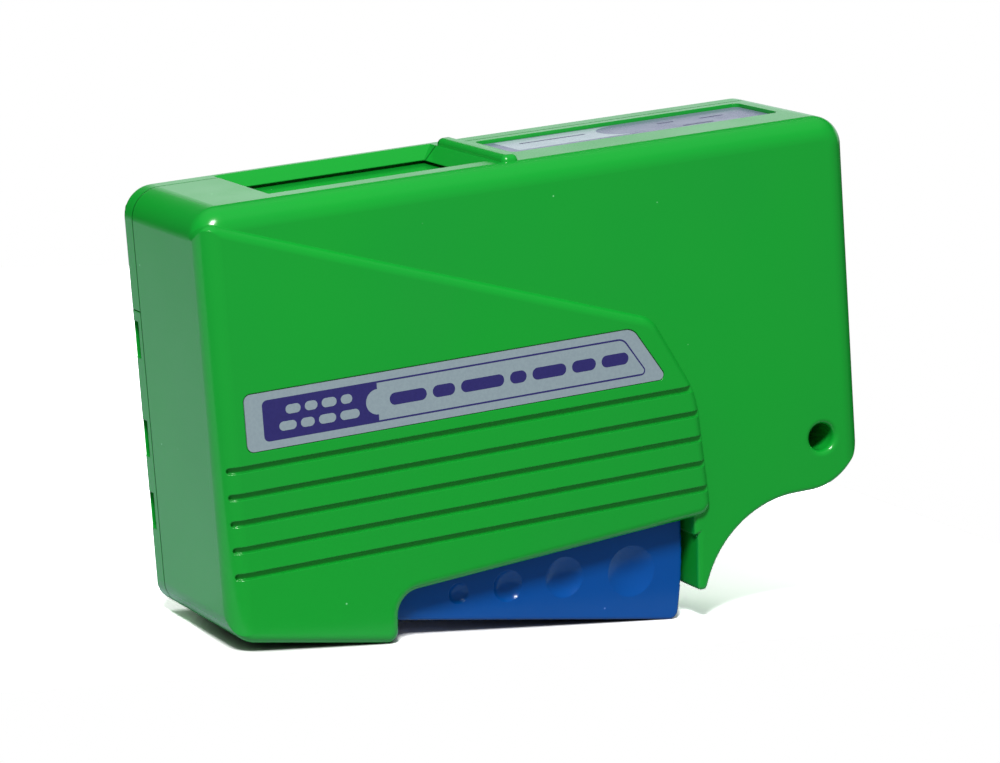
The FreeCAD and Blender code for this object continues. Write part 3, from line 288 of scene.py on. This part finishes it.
def math_node(tree, operation, first, second=None):
    """One value worked out from one or two. The second may be a plain number."""
    node = added(tree, "ShaderNodeMath", operation=operation)
    tree.links.new(first, node.inputs[0])
    if isinstance(second, float):
        node.inputs[1].default_value = second
    elif second is not None:
        tree.links.new(second, node.inputs[1])
    return node.outputs["Value"]


def mixed(tree, factor, before, after, kind="RGBA"):
    """Colour, vector or number mixed from two, each a socket or a constant."""
    node = added(tree, "ShaderNodeMix", data_type=kind)
    first, second, result = MIX_SOCKETS[kind]
    tree.links.new(factor, node.inputs[0])
    for value, socket in ((before, node.inputs[first]), (after, node.inputs[second])):
        if isinstance(value, (tuple, float)):
            socket.default_value = value
        else:
            tree.links.new(value, socket)
    return node.outputs[result]


def axes_of(tree, place="Object"):
    """X, Y and Z of a place on the object, or of a direction in the world."""
    split = added(tree, "ShaderNodeSeparateXYZ")
    tree.links.new(added(tree, "ShaderNodeTexCoord").outputs[place], split.inputs["Vector"])
    return [split.outputs[axis] for axis in "XYZ"]


def rays_of(tree):
    """1 for a ray from the camera, from a glossy face and through glass, and 0 for others."""
    paths = added(tree, "ShaderNodeLightPath")
    return [paths.outputs[kind] for kind in ("Is Camera Ray", "Is Glossy Ray", "Is Transmission Ray")]


class Surface:
    """A material with a principled shader, and helpers that add procedural detail to it."""

    def __init__(self, name, colour, roughness, **sockets):
        self.material = bpy.data.materials.new(name)
        self.material.use_nodes = True
        self.tree = self.material.node_tree
        self.shader = self.tree.nodes["Principled BSDF"]
        self.shader.inputs["Base Color"].default_value = colour
        self.shader.inputs["Roughness"].default_value = roughness
        for socket, value in sockets.items():
            self.shader.inputs[socket.replace("_", " ")].default_value = value
        self.place = added(self.tree, "ShaderNodeTexCoord").outputs["Object"]
        self.colour = colour
        self.normal = None

    def noise(self, scale, detail):
        node = added(self.tree, "ShaderNodeTexNoise")
        node.inputs["Scale"].default_value = scale
        node.inputs["Detail"].default_value = detail
        self.tree.links.new(self.place, node.inputs["Vector"])
        return node.outputs["Fac"]

    def dust(self, colour):
        """Small round specks, one in some of the cells of a cell pattern."""
        cells = added(self.tree, "ShaderNodeTexVoronoi")
        cells.inputs["Scale"].default_value = DUST_SCALE
        self.tree.links.new(self.place, cells.inputs["Vector"])
        inside = mapped(self.tree, cells.outputs["Distance"], *DUST_RADII, 1.0, 0.0)
        pick = added(self.tree, "ShaderNodeSeparateColor")
        self.tree.links.new(cells.outputs["Color"], pick.inputs["Color"])
        chosen = mapped(self.tree, pick.outputs["Red"], *DUST_SHARES, 1.0, 0.0)
        self.tint(math_node(self.tree, "MULTIPLY", inside, chosen), colour)

    def tint(self, amount, colour):
        """Mix a colour into the base colour by an amount that varies over the surface."""
        self.colour = mixed(self.tree, amount, self.colour, colour)
        self.tree.links.new(self.colour, self.shader.inputs["Base Color"])

    def mottle(self, pattern, start, end, strength, colour):
        """Mix a colour in where a pattern goes from one level to another."""
        self.tint(mapped(self.tree, pattern, start, end, 0.0, strength), colour)

    def vary_roughness(self, pattern, low, high):
        roughness = mapped(self.tree, pattern, *SHINE_LEVELS, low, high)
        self.tree.links.new(roughness, self.shader.inputs["Roughness"])

    def round_edges(self, radius):
        node = added(self.tree, "ShaderNodeBevel", samples=EDGE_SAMPLES)
        node.inputs["Radius"].default_value = radius * MM
        self.normal = node.outputs["Normal"]

    def near_plane(self, spot, way, reach):
        """1 near the plane through a spot that a way stands on, and 0 away from it."""
        along = added(self.tree, "ShaderNodeVectorMath", operation="DOT_PRODUCT")
        along.inputs[1].default_value = way
        self.tree.links.new(self.place, along.inputs[0])
        offset = math_node(self.tree, "SUBTRACT", along.outputs["Value"], spot.dot(way))
        distance = math_node(self.tree, "ABSOLUTE", offset)
        return mapped(self.tree, distance, reach / 2, reach, 1.0, 0.0)

    def keep_flush(self, spot, way, reach):
        """Show no rounded edges near a plane where two flush solids of one moulding meet."""
        plain = added(self.tree, "ShaderNodeNewGeometry").outputs["Normal"]
        self.normal = mixed(self.tree, self.near_plane(spot, way, reach), self.normal, plain, "VECTOR")

    def seam(self, spot, way, width, colour):
        """Painted shade: a dark dull line all round, where two mouldings meet in a plane, for the shade in
        the gap.
        """
        line = self.near_plane(spot, way, width / 2)
        self.tint(line, colour)
        gloss = self.shader.inputs["Specular IOR Level"]
        self.tree.links.new(mapped(self.tree, line, 0.0, 1.0, gloss.default_value, 0.0), gloss)

    def bump(self, height, depth):
        """Raise the surface by a pattern, up to a depth."""
        node = added(self.tree, "ShaderNodeBump")
        node.inputs["Distance"].default_value = depth * MM
        self.tree.links.new(height, node.inputs["Height"])
        if self.normal is not None:
            self.tree.links.new(self.normal, node.inputs["Normal"])
        self.normal = node.outputs["Normal"]
        self.tree.links.new(self.normal, self.shader.inputs["Normal"])


def moulded(name, colour, flow, speck, roughness, gloss, flush_at=None):
    """Moulded plastic: slow flow marks, a fine skin and sparse bright specks of dust."""
    surface = Surface(name, colour, roughness[0], Specular_IOR_Level=gloss)
    surface.mottle(surface.noise(*FLOW), *FLOW_SHOWS, flow)
    surface.dust(speck)
    surface.vary_roughness(surface.noise(*PLASTIC_SHINE), *roughness)
    surface.round_edges(EDGE_ROUND)
    if flush_at is not None:
        surface.keep_flush(flush_at, ALONG, FLUSH_REACH * MM)
    surface.bump(surface.noise(*PLASTIC_SKIN), PLASTIC_DEPTH)
    return surface


def film(name, colour, grain, roughness):
    """Printed label film with a fine grain."""
    surface = Surface(name, colour, roughness[0])
    surface.mottle(surface.noise(*FILM_GRAIN), *FILM_SHOWS, grain)
    surface.vary_roughness(surface.noise(*FILM_SHINE), *roughness)
    surface.bump(surface.noise(*FILM_SKIN), FILM_DEPTH)
    return surface


def drawn_steel(name, colour, streaks, roughness):
    """Bare metal with uneven streaks and shine."""
    surface = Surface(name, colour, roughness[0], Metallic=1.0)
    surface.mottle(surface.noise(*STEEL_STREAKS), *STEEL_SHOWS, streaks)
    surface.vary_roughness(surface.noise(*STEEL_SHINE), *roughness)
    surface.bump(surface.noise(*STEEL_SKIN), STEEL_DEPTH)
    return surface


def soft(name, colour, shade, scale, depth, roughness):
    """Felt or foam: a coarse fibrous bump and an uneven colour."""
    surface = Surface(name, colour, roughness, Sheen_Weight=FIBRE_SHEEN)
    fibres = surface.noise(scale, FIBRE_DETAIL)
    surface.mottle(fibres, *FIBRE_SHOWS, shade)
    surface.bump(fibres, depth)
    return surface


def woven(name, colour, shade, pitch, depth):
    """Fine plain weave: threads along and across, over and under in turn, with painted shade between them
    and random dust.
    """
    surface = Surface(name, colour, WEAVE_ROUGHNESS, Sheen_Weight=WEAVE_SHEEN)
    frequency = math.pi / (pitch * MM)
    along, across, _ = axes_of(surface.tree)
    waves = []
    for threads in (along, across):
        scaled = math_node(surface.tree, "MULTIPLY", threads, frequency)
        waves.append(math_node(surface.tree, "SINE", scaled))
    height = mapped(surface.tree, math_node(surface.tree, "MULTIPLY", *waves), -1.0, 1.0, 0.0, 1.0)
    # painted shade: the darker colour fills the low places between the threads; next, the same colour is
    # mixed in as random dust
    surface.mottle(height, *WEAVE_HOLLOW_SHADE, shade)
    surface.mottle(surface.noise(*WEAVE_DUST), *WEAVE_DUST_SHOWS, shade)
    surface.bump(height, depth)
    return surface


# Colour, flow marks, specks, roughness and gloss, as moulded() takes them
GREEN = (srgb(12, 156, 44), srgb(16, 152, 47), srgb(120, 210, 140), (0.18, 0.24), 0.5)
cap_joint = at(*case_corners("front_end_cap")[0])
CASE = moulded("green_plastic", *GREEN, flush_at=cap_joint)
# painted shade along the joint of the two halves, in a dark green without gloss
CASE.seam(cad_high - SEAM_FROM_BACK * MM * INWARD, INWARD, SEAM_WIDTH * MM, srgb(4, 84, 22))
SHUTTER = moulded("shutter_plastic", *GREEN)
BLUE = moulded("blue_plastic", srgb(0, 76, 154), srgb(3, 72, 147), srgb(90, 130, 200), (0.16, 0.22), 0.3)
DARK = moulded("dark_plastic", srgb(52, 52, 56), srgb(44, 44, 48), srgb(100, 100, 104), (0.45, 0.6), 0.4)
WHITE = moulded("white_plastic", srgb(226, 225, 218), srgb(218, 216, 206), srgb(240, 240, 236),
                (0.4, 0.55), 0.5)
SILVER = film("silver_film", srgb(139, 156, 163), srgb(131, 147, 156), (0.3, 0.4))
MAUVE = film("mauve_film", srgb(122, 126, 152), srgb(114, 118, 146), (0.22, 0.3))
PALE = film("pale_film", srgb(170, 184, 192), srgb(162, 176, 186), (0.22, 0.3))
PURPLE = film("purple_ink", srgb(44, 40, 106), srgb(39, 35, 98), (0.3, 0.4))
INK = film("grey_ink", srgb(84, 84, 112), srgb(76, 76, 104), (0.3, 0.4))
STEEL = drawn_steel("drawn_steel", srgb(190, 192, 196), srgb(140, 142, 148), (0.22, 0.4))
PAD = soft("pad_foam", srgb(186, 186, 180), srgb(166, 166, 160), 900.0, 0.06, 0.9)
FELT = soft("felt", srgb(120, 117, 110), srgb(92, 90, 84), 1600.0, 0.12, 0.95)
# the second colour is painted shade between the threads, and random dust
TAPE = woven("tape_weave", srgb(226, 229, 234), srgb(196, 200, 210), 0.32, 0.03)

SLOT_MATERIALS = {
    "green_plastic": CASE,
    "blue_plastic": BLUE,
    "silver_label": SILVER,
    "pale_label": MAUVE,
    "steel": STEEL,
    "dark_plastic": DARK,
    "white_plastic": WHITE,
    "pad_rubber": PAD,
    "tape_cloth": TAPE,
    "felt": FELT,
}


def dress(mesh, surface):
    mesh.materials.clear()
    mesh.materials.append(surface.material)


def dress_solids():
    """Finish of every solid by its slot. The shutter is green too, but has no seam."""
    for subpart in frame["record"]["subparts"]:
        dress(nodes[subpart["node"]].data, SLOT_MATERIALS[subpart["material_slot"]])
    dress(nodes["shutter"].data, SHUTTER)


def placed(name, data):
    """New object in the scene."""
    thing = bpy.data.objects.new(name, data)
    bpy.context.scene.collection.objects.link(thing)
    return thing


def shown(name, mesh, surface, body="case", place=Matrix()):
    """New piece of the part at its place, with its finish, riding on its body. A blend needs no body."""
    piece = placed(name, mesh)
    dress(mesh, surface)
    piece.matrix_world = place
    if body:
        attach(piece, body)
    return piece


def rounded(corners):
    """Outline with arcs at its corners. Each corner is (u, v, radius)."""
    outline = []
    for i, (u, v, radius) in enumerate(corners):
        spot = Vector((u, v))
        if not radius:
            outline.append(spot)
            continue
        before = Vector(corners[i - 1][:2])
        after = Vector(corners[(i + 1) % len(corners)][:2])
        way_in = (spot - before).normalized()
        way_out = (after - spot).normalized()
        turn = way_in.angle(way_out)
        inward = (way_out - way_in).normalized()
        centre = spot + inward * (radius / math.cos(turn / 2))
        start = spot - way_in * (radius * math.tan(turn / 2)) - centre
        sign = 1 if way_in.cross(way_out) > 0 else -1
        for step in range(ARC_STEPS + 1):
            spoke = start.copy()
            spoke.rotate(Matrix.Rotation(sign * turn * step / ARC_STEPS, 2))
            outline.append(centre + spoke)
    return outline


def pill(left, right, middle, height):
    """Bar with round ends."""
    low, high = middle - height / 2, middle + height / 2
    end = height * PILL_ROUND
    return rounded([(left, low, end), (right, low, end), (right, high, end), (left, high, end)])


def arc(u, v, radius, start, end):
    """Points of an arc, its angles in degrees."""
    points = []
    steps = 2 * ARC_STEPS
    for step in range(steps + 1):
        angle = math.radians(start + (end - start) * step / steps)
        points.append(Vector((u + radius * math.cos(angle), v + radius * math.sin(angle))))
    return points


def meshed(curve):
    """Mesh of a curve's form, with the curve's name."""
    shape = bpy.data.objects.new(curve.name + ".shape", curve)
    mesh = bpy.data.meshes.new_from_object(shape)
    mesh.name = curve.name
    bpy.data.objects.remove(shape)
    return mesh


def printed(name, outlines, place, rise_way, v_way, surface, slot, layer=1):
    """Thin layer of ink with the given outlines. place is where u and v are zero."""
    rise = PRINT_RISE * layer
    curve = bpy.data.curves.new(name, "CURVE")
    curve.dimensions = "2D"
    curve.fill_mode = "BOTH"
    curve.extrude = (rise + PRINT_SINK) / 2 * MM
    for outline in outlines:
        spline = curve.splines.new("POLY")
        spline.points.add(len(outline) - 1)
        for point, spot in zip(spline.points, outline):
            point.co = (spot.x * MM, spot.y * MM, 0, 1)
        spline.use_cyclic_u = True
    level = place + rise_way * ((rise - PRINT_SINK) / 2 * MM)
    axes = Matrix((ALONG, v_way, rise_way)).transposed()
    shown(name, meshed(curve), surface, place=Matrix.Translation(level) @ axes.to_4x4())


def row_of_pills(left, lengths, gap, middle, height):
    bars = []
    for length in lengths:
        bars.append(pill(left, left + length, middle, height))
        left += length + gap
    return bars


def front_print():
    """Coloured field with a round bite, a thin frame and rows of plain marks on the front label."""
    low, high = case_corners("front_label")
    top, bottom = -FIELD_INSET, low[2] - high[2] + FIELD_INSET
    middle = (top + bottom) / 2
    right = FIELD_LEFT + FIELD_LENGTH
    length = high[0] - low[0]
    ways = (at(*low), -INWARD, UPWARD)
    field = rounded([(right, top, 0), (FIELD_LEFT, top, FIELD_ROUND), (FIELD_LEFT, bottom, FIELD_ROUND),
                     (right, bottom, 0)])
    field += arc(right, middle, BITE_RADIUS, 270, 90)
    printed("label_field", [field], *ways, PURPLE, "silver_label")

    ends = ((length - LINE_END_TOP, top, LINE_ROUND_TOP),
            (length - LINE_END_BOTTOM, bottom, LINE_ROUND_BOTTOM))
    outer = rounded([(right, top, 0), *ends, (right, bottom, 0)])
    (top_end, _, top_round), (bottom_end, _, bottom_round) = ends
    inner = rounded([(right, top - LINE_WIDTH, 0),
                     (top_end - LINE_INSET_TOP * LINE_WIDTH, top - LINE_WIDTH, top_round - LINE_WIDTH),
                     (bottom_end - LINE_INSET_BOTTOM * LINE_WIDTH, bottom + LINE_WIDTH,
                      bottom_round - LINE_WIDTH),
                     (right, bottom + LINE_WIDTH, 0)])
    printed("label_frame", [outer + inner[::-1]], *ways, PURPLE, "silver_label")
    bars = row_of_pills(BARS_LEFT, BARS, BAR_GAP, middle, BAR_HEIGHT)
    printed("label_bars", bars, *ways, PURPLE, "silver_label")
    marks = []
    for left, lengths, below_top in MARK_ROWS:
        marks += row_of_pills(left, lengths, MARK_GAP, -below_top - MARK_HEIGHT / 2, MARK_HEIGHT)
    printed("label_marks", marks, *ways, SILVER, "silver_label", layer=2)


def top_print():
    """Pale pane with a hollow round end, and a few plain dashes on the top label."""
    low, high = case_corners("top_label")
    ways = (at(*low), UPWARD, INWARD)
    near, far = PANE_NEAR, high[1] - low[1] - PANE_FAR
    pane = rounded([(PANE_RIGHT, far, 0), (PANE_LEFT, far, PANE_ROUND), (PANE_LEFT, near, PANE_ROUND),
                    (PANE_RIGHT, near, 0)])
    pane += arc(PANE_RIGHT, (near + far) / 2, (far - near) / 2, 270, 90)[1:-1]
    printed("top_pane", [pane], *ways, PALE, "pale_label")
    dashes = [pill(*dash) for dash in DASHES]
    printed("top_dashes", dashes, *ways, INK, "pale_label", layer=2)


def touch_points(first, first_radius, second, second_radius):
    """Ends of the straight run between two rounds. A radius is negative for a run on the right."""
    way = second - first
    along = way.normalized()
    across = Vector((-along.y, along.x))
    lean = (second_radius - first_radius) / way.length
    normal = along * lean + across * math.sqrt(1 - lean ** 2)
    return first - normal * first_radius, second - normal * second_radius


def tape_path():
    """Middle line of the tape, as x and height, from the supply roll to the take-up roll."""
    top = case_corners("cleaning_tape")[0][2]
    rounds = []
    for joint, wound, side in (("supply_turn", "supply_roll", 1), ("right_roller_turn", None, 1),
                               ("left_roller_turn", None, 1), ("take_up_turn", "take_up_roll", -1)):
        x, _, drop = in_case(Vector(joints[joint]["pos_m"]))
        radius = drop - top - TAPE_SOLID_THICK / 2
        if wound:
            low, high = case_corners(wound)
            radius = (high[0] - low[0]) / 2 + TAPE_ROLL_GAP + TAPE_SOLID_THICK / 2
        rounds.append((Vector((x, -drop)), side * radius))
    runs = [touch_points(*first, *second) for first, second in zip(rounds, rounds[1:])]
    path = []
    for i, (start, end) in enumerate(runs):
        steps = math.ceil((end - start).length / TAPE_CELL)
        path += [start.lerp(end, step / steps) for step in range(steps + 1)]
        if i + 1 < len(runs):
            centre = rounds[i + 1][0]
            turn = (end - centre).angle_signed(runs[i + 1][0] - centre)
            for step in range(1, TAPE_ARC_STEPS):
                spoke = end - centre
                spoke.rotate(Matrix.Rotation(-turn * step / TAPE_ARC_STEPS, 2))
                path.append(centre + spoke)
    return path


def gridded(name, rows, closed=False):
    """Mesh of quads over rows of places. A closed one joins its last row and column to its first."""
    count, width = len(rows), len(rows[0])
    faces = []
    for i in range(count if closed else count - 1):
        here, there = i * width, (i + 1) % count * width
        for j in range(width if closed else width - 1):
            after = (j + 1) % width
            faces.append((here + j, here + after, there + after, there + j))
    mesh = bpy.data.meshes.new(name)
    mesh.from_pydata([place for row in rows for place in row], [], faces)
    mesh.shade_smooth()
    return mesh


def tape():
    """Strip of cleaning tape, stretched from roll to roll over the rollers and the pad."""
    low, high = case_corners("cleaning_tape")
    width = high[1] - low[1]
    columns = math.ceil(width / TAPE_CELL)
    path = tape_path()
    rows = []
    for spot in path:
        rows.append([at(spot.x, low[1] + width * i / columns, -spot.y) for i in range(columns + 1)])
    strip = shown("tape_strip", gridded("tape_strip", rows), TAPE)
    both_faces = strip.modifiers.new("thickness", "SOLIDIFY")
    both_faces.thickness = TAPE_THICK * MM
    both_faces.offset = 0
    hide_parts("cleaning_tape")


def roll(node, joint, body):
    """Wound tape: the edges of every other turn stand out of its sides."""
    low, high = case_corners(node)
    centre = Vector(joints[joint]["pos_m"])
    reaches = [(vertex.co - centre).xz.length / MM for vertex in nodes[node].data.vertices]
    inner, outer = min(reaches), max(reaches)
    turns = math.floor((outer - inner) / TURN_PITCH)
    pitch = (outer - inner) / turns
    profile = []
    for i in range(turns):
        sunk = TURN_RELIEF * (i % 2)
        profile += [(inner + i * pitch, sunk), (inner + (i + TURN_SHARE) * pitch, sunk)]
    x, _, drop = in_case(centre)
    rows = []
    for step in range(ROLL_STEPS):
        angle = 2 * math.pi * step / ROLL_STEPS
        across, up = math.cos(angle), math.sin(angle)
        near = [at(x + radius * across, low[1] + sunk, drop - radius * up) for radius, sunk in profile]
        far = [at(x + radius * across, high[1] - sunk, drop - radius * up) for radius, sunk in profile]
        rows.append([*near, *far[::-1]])
    name = node + "_turns"
    piece = shown(name, gridded(name, rows, closed=True), TAPE, body)
    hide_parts(node)


def pad_place(middle, half, share):
    """Place on the pad for a place on a cube from -1 to 1. Drop grows downwards, so -1 is the top."""
    along, across, down = share
    reach = max(abs(along), abs(across))
    corner = PAD_CORNER * abs(along * across) ** PAD_EDGE
    pinch = PAD_PINCH * (1 - down ** 2) + corner
    fall = PAD_CROWN * reach ** PAD_EDGE * (1 - down) / 2
    return at(middle.x + along * (half.x - pinch), middle.y + across * (half.y - pinch),
              middle.z + down * half.z + fall)


def pad():
    """Foam pad: crowned on top, where the tape presses on it, and drawn in at its sides and corners."""
    low, high = (Vector(corner) for corner in case_corners("wiping_pad"))
    middle, half = (low + high) / 2, (high - low) / 2
    shape = bmesh.new()
    sides = ((0, 1, 2), (1, 2, 0), (2, 0, 1))
    for across, up, out in sides:
        for face in (-1, 1):
            rows = []
            for i in range(PAD_CELLS[across] + 1):
                row = []
                for j in range(PAD_CELLS[up] + 1):
                    share = [0, 0, 0]
                    share[across] = 2 * i / PAD_CELLS[across] - 1
                    share[up] = 2 * j / PAD_CELLS[up] - 1
                    share[out] = face
                    row.append(shape.verts.new(pad_place(middle, half, share)))
                rows.append(row)
            for here, there in zip(rows, rows[1:]):
                for j in range(PAD_CELLS[up]):
                    shape.faces.new((here[j], here[j + 1], there[j + 1], there[j])[::face])
    bmesh.ops.remove_doubles(shape, verts=shape.verts, dist=PAD_MERGE * MM)
    bmesh.ops.recalc_face_normals(shape, faces=shape.faces)
    mesh = bpy.data.meshes.new("pad_foam")
    shape.to_mesh(mesh)
    shape.free()
    mesh.shade_smooth()
    piece = shown("pad_foam", mesh, PAD)
    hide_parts("wiping_pad")


def spring():
    """Coil spring with closed ends, which the lever presses against a shelf of the case."""
    low, high = case_corners("return_spring")
    x, y, _ = (Vector(low) + Vector(high)) / 2
    radius = (high[0] - low[0] - SPRING_WIRE) / 2
    top, bottom = low[2] + SPRING_WIRE / 2, high[2] - SPRING_WIRE / 2
    turns = SPRING_TURNS + 2 * SPRING_CLOSED
    open_pitch = (bottom - top - 2 * SPRING_CLOSED * SPRING_WIRE) / SPRING_TURNS
    wire = bpy.data.curves.new("return_spring_coil", "CURVE")
    wire.dimensions = "3D"
    wire.bevel_depth = SPRING_WIRE / 2 * MM
    wire.use_fill_caps = True
    coil = wire.splines.new("POLY")
    coil.points.add(turns * SPRING_STEPS)
    for step, point in enumerate(coil.points):
        turn = step / SPRING_STEPS
        opened = min(max(turn - SPRING_CLOSED, 0), SPRING_TURNS)
        drop = top + SPRING_WIRE * (turn - opened) + open_pitch * opened
        angle = 2 * math.pi * turn
        point.co = (*at(x + radius * math.cos(angle), y + radius * math.sin(angle), drop), 1)
    piece = shown("return_spring_coil", meshed(wire), STEEL, body=None)
    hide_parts("return_spring")
    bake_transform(piece)


def backdrop():
    """Pale floor: white for the camera, with shadows and painted shade near the object, and dimmer in the
    light that it throws.
    """
    mesh = bpy.data.meshes.new("floor")
    floor = placed("floor", mesh)
    (left, near), (right, far) = FLOOR_LOW, FLOOR_HIGH
    corners = [(left, near, 0), (right, near, 0), (right, far, 0), (left, far, 0)]
    mesh.from_pydata(corners, [], [range(len(corners))])
    material = bpy.data.materials.new("floor_white")
    material.use_nodes = True
    tree = material.node_tree
    tree.nodes.remove(tree.nodes["Principled BSDF"])
    paper = added(tree, "ShaderNodeBsdfDiffuse")
    from_camera, from_gloss, through_glass = rays_of(tree)
    # painted shade: the floor's colour for the camera falls near the object, by ambient occlusion
    painted_contact_shade = added(tree, "ShaderNodeAmbientOcclusion")
    painted_contact_shade.inputs["Color"].default_value = grey(FLOOR_SEEN)
    _, depth, _ = axes_of(tree)
    reach = mapped(tree, depth, cad_low.y, cad_high.y, *PAINTED_SHADE_REACH)
    tree.links.new(reach, painted_contact_shade.inputs["Distance"])
    mirrored = math_node(tree, "MAXIMUM", from_gloss, through_glass)
    unseen = mixed(tree, mirrored, FLOOR_BOUNCE, FLOOR_MIRRORED)
    colour = mixed(tree, from_camera, unseen, painted_contact_shade.outputs["Color"])
    tree.links.new(colour, paper.inputs["Color"])
    tree.links.new(paper.outputs["BSDF"], tree.nodes["Material Output"].inputs["Surface"])
    mesh.materials.append(material)


def world():
    """White for the camera. Glossy faces show a studio that is white low behind, and dim elsewhere."""
    scene_world = bpy.data.worlds.new("studio")
    bpy.context.scene.world = scene_world
    scene_world.use_nodes = True
    tree = scene_world.node_tree
    light = tree.nodes["Background"]
    from_camera, from_gloss, through_glass = rays_of(tree)
    tint = mixed(tree, from_gloss, grey(1.0), MIRRORED_TINT)
    tree.links.new(tint, light.inputs["Color"])
    side, depth, height = axes_of(tree, "Generated")

    mirrored = mapped(tree, depth, *WHITE_BEHIND, 0.0, 1.0)
    for limit in (mapped(tree, side, *WHITE_RIGHT, 0.0, 1.0),
                  mapped(tree, height, *WHITE_UNDER, 1.0, 0.0),
                  mapped(tree, height, *WHITE_OVER, 0.0, 1.0)):
        mirrored = math_node(tree, "MULTIPLY", mirrored, limit)
    for dim in (mapped(tree, depth, *FRONT_FADES, MIRRORED_FRONT, MIRRORED_BACK),
                mapped(tree, height, *TOP_SHOWS, MIRRORED_BACK, MIRRORED_TOP)):
        mirrored = math_node(tree, "MAXIMUM", mirrored, dim)

    ambient = math_node(tree, "MULTIPLY", math_node(tree, "ABSOLUTE", depth), AMBIENT_FRONT)
    ambient = math_node(tree, "ADD", ambient, AMBIENT_SIDE)

    seen = math_node(tree, "MAXIMUM", from_camera, through_glass)
    unseen = mixed(tree, from_gloss, ambient, mirrored, "FLOAT")
    tree.links.new(mixed(tree, seen, unseen, 1.0, "FLOAT"), light.inputs["Strength"])


def lamps():
    """Round lamps that face the object. A lamp's power follows from its level and distance."""
    for name, (way, distance, size, level, highlights) in LAMPS.items():
        data = bpy.data.lights.new(name, "AREA")
        data.shape = "DISK"
        data.size = size
        data.energy = level * (math.pi * distance) ** 2
        lamp = placed(name, data)
        way = Vector(way).normalized()
        lamp.location = TARGET + way * distance
        lamp.rotation_euler = (-way).to_track_quat("-Z", "Y").to_euler()
        lamp.visible_glossy = highlights


def camera():
    data = bpy.data.cameras.new("camera")
    data.lens = LENS
    data.sensor_width = SENSOR
    data.clip_start = CLIP_START
    data.clip_end = CLIP_END
    view = placed("camera", data)
    right = turned(CAMERA_RIGHT).normalized()
    back = -turned(CAMERA_FORWARD).normalized()
    axes = Matrix((right, back.cross(right), back)).transposed()
    view.matrix_world = Matrix.Translation(at(*CAMERA_PLACE)) @ axes.to_4x4()
    bpy.context.scene.camera = view


dress_solids()
front_print()
top_print()
pad()
spring()
tape()
roll("supply_roll", "supply_turn", "supply")
roll("take_up_roll", "take_up_turn", "take_up")
backdrop()
world()
lamps()
camera()
bpy.context.scene.view_settings.view_transform = "Standard"
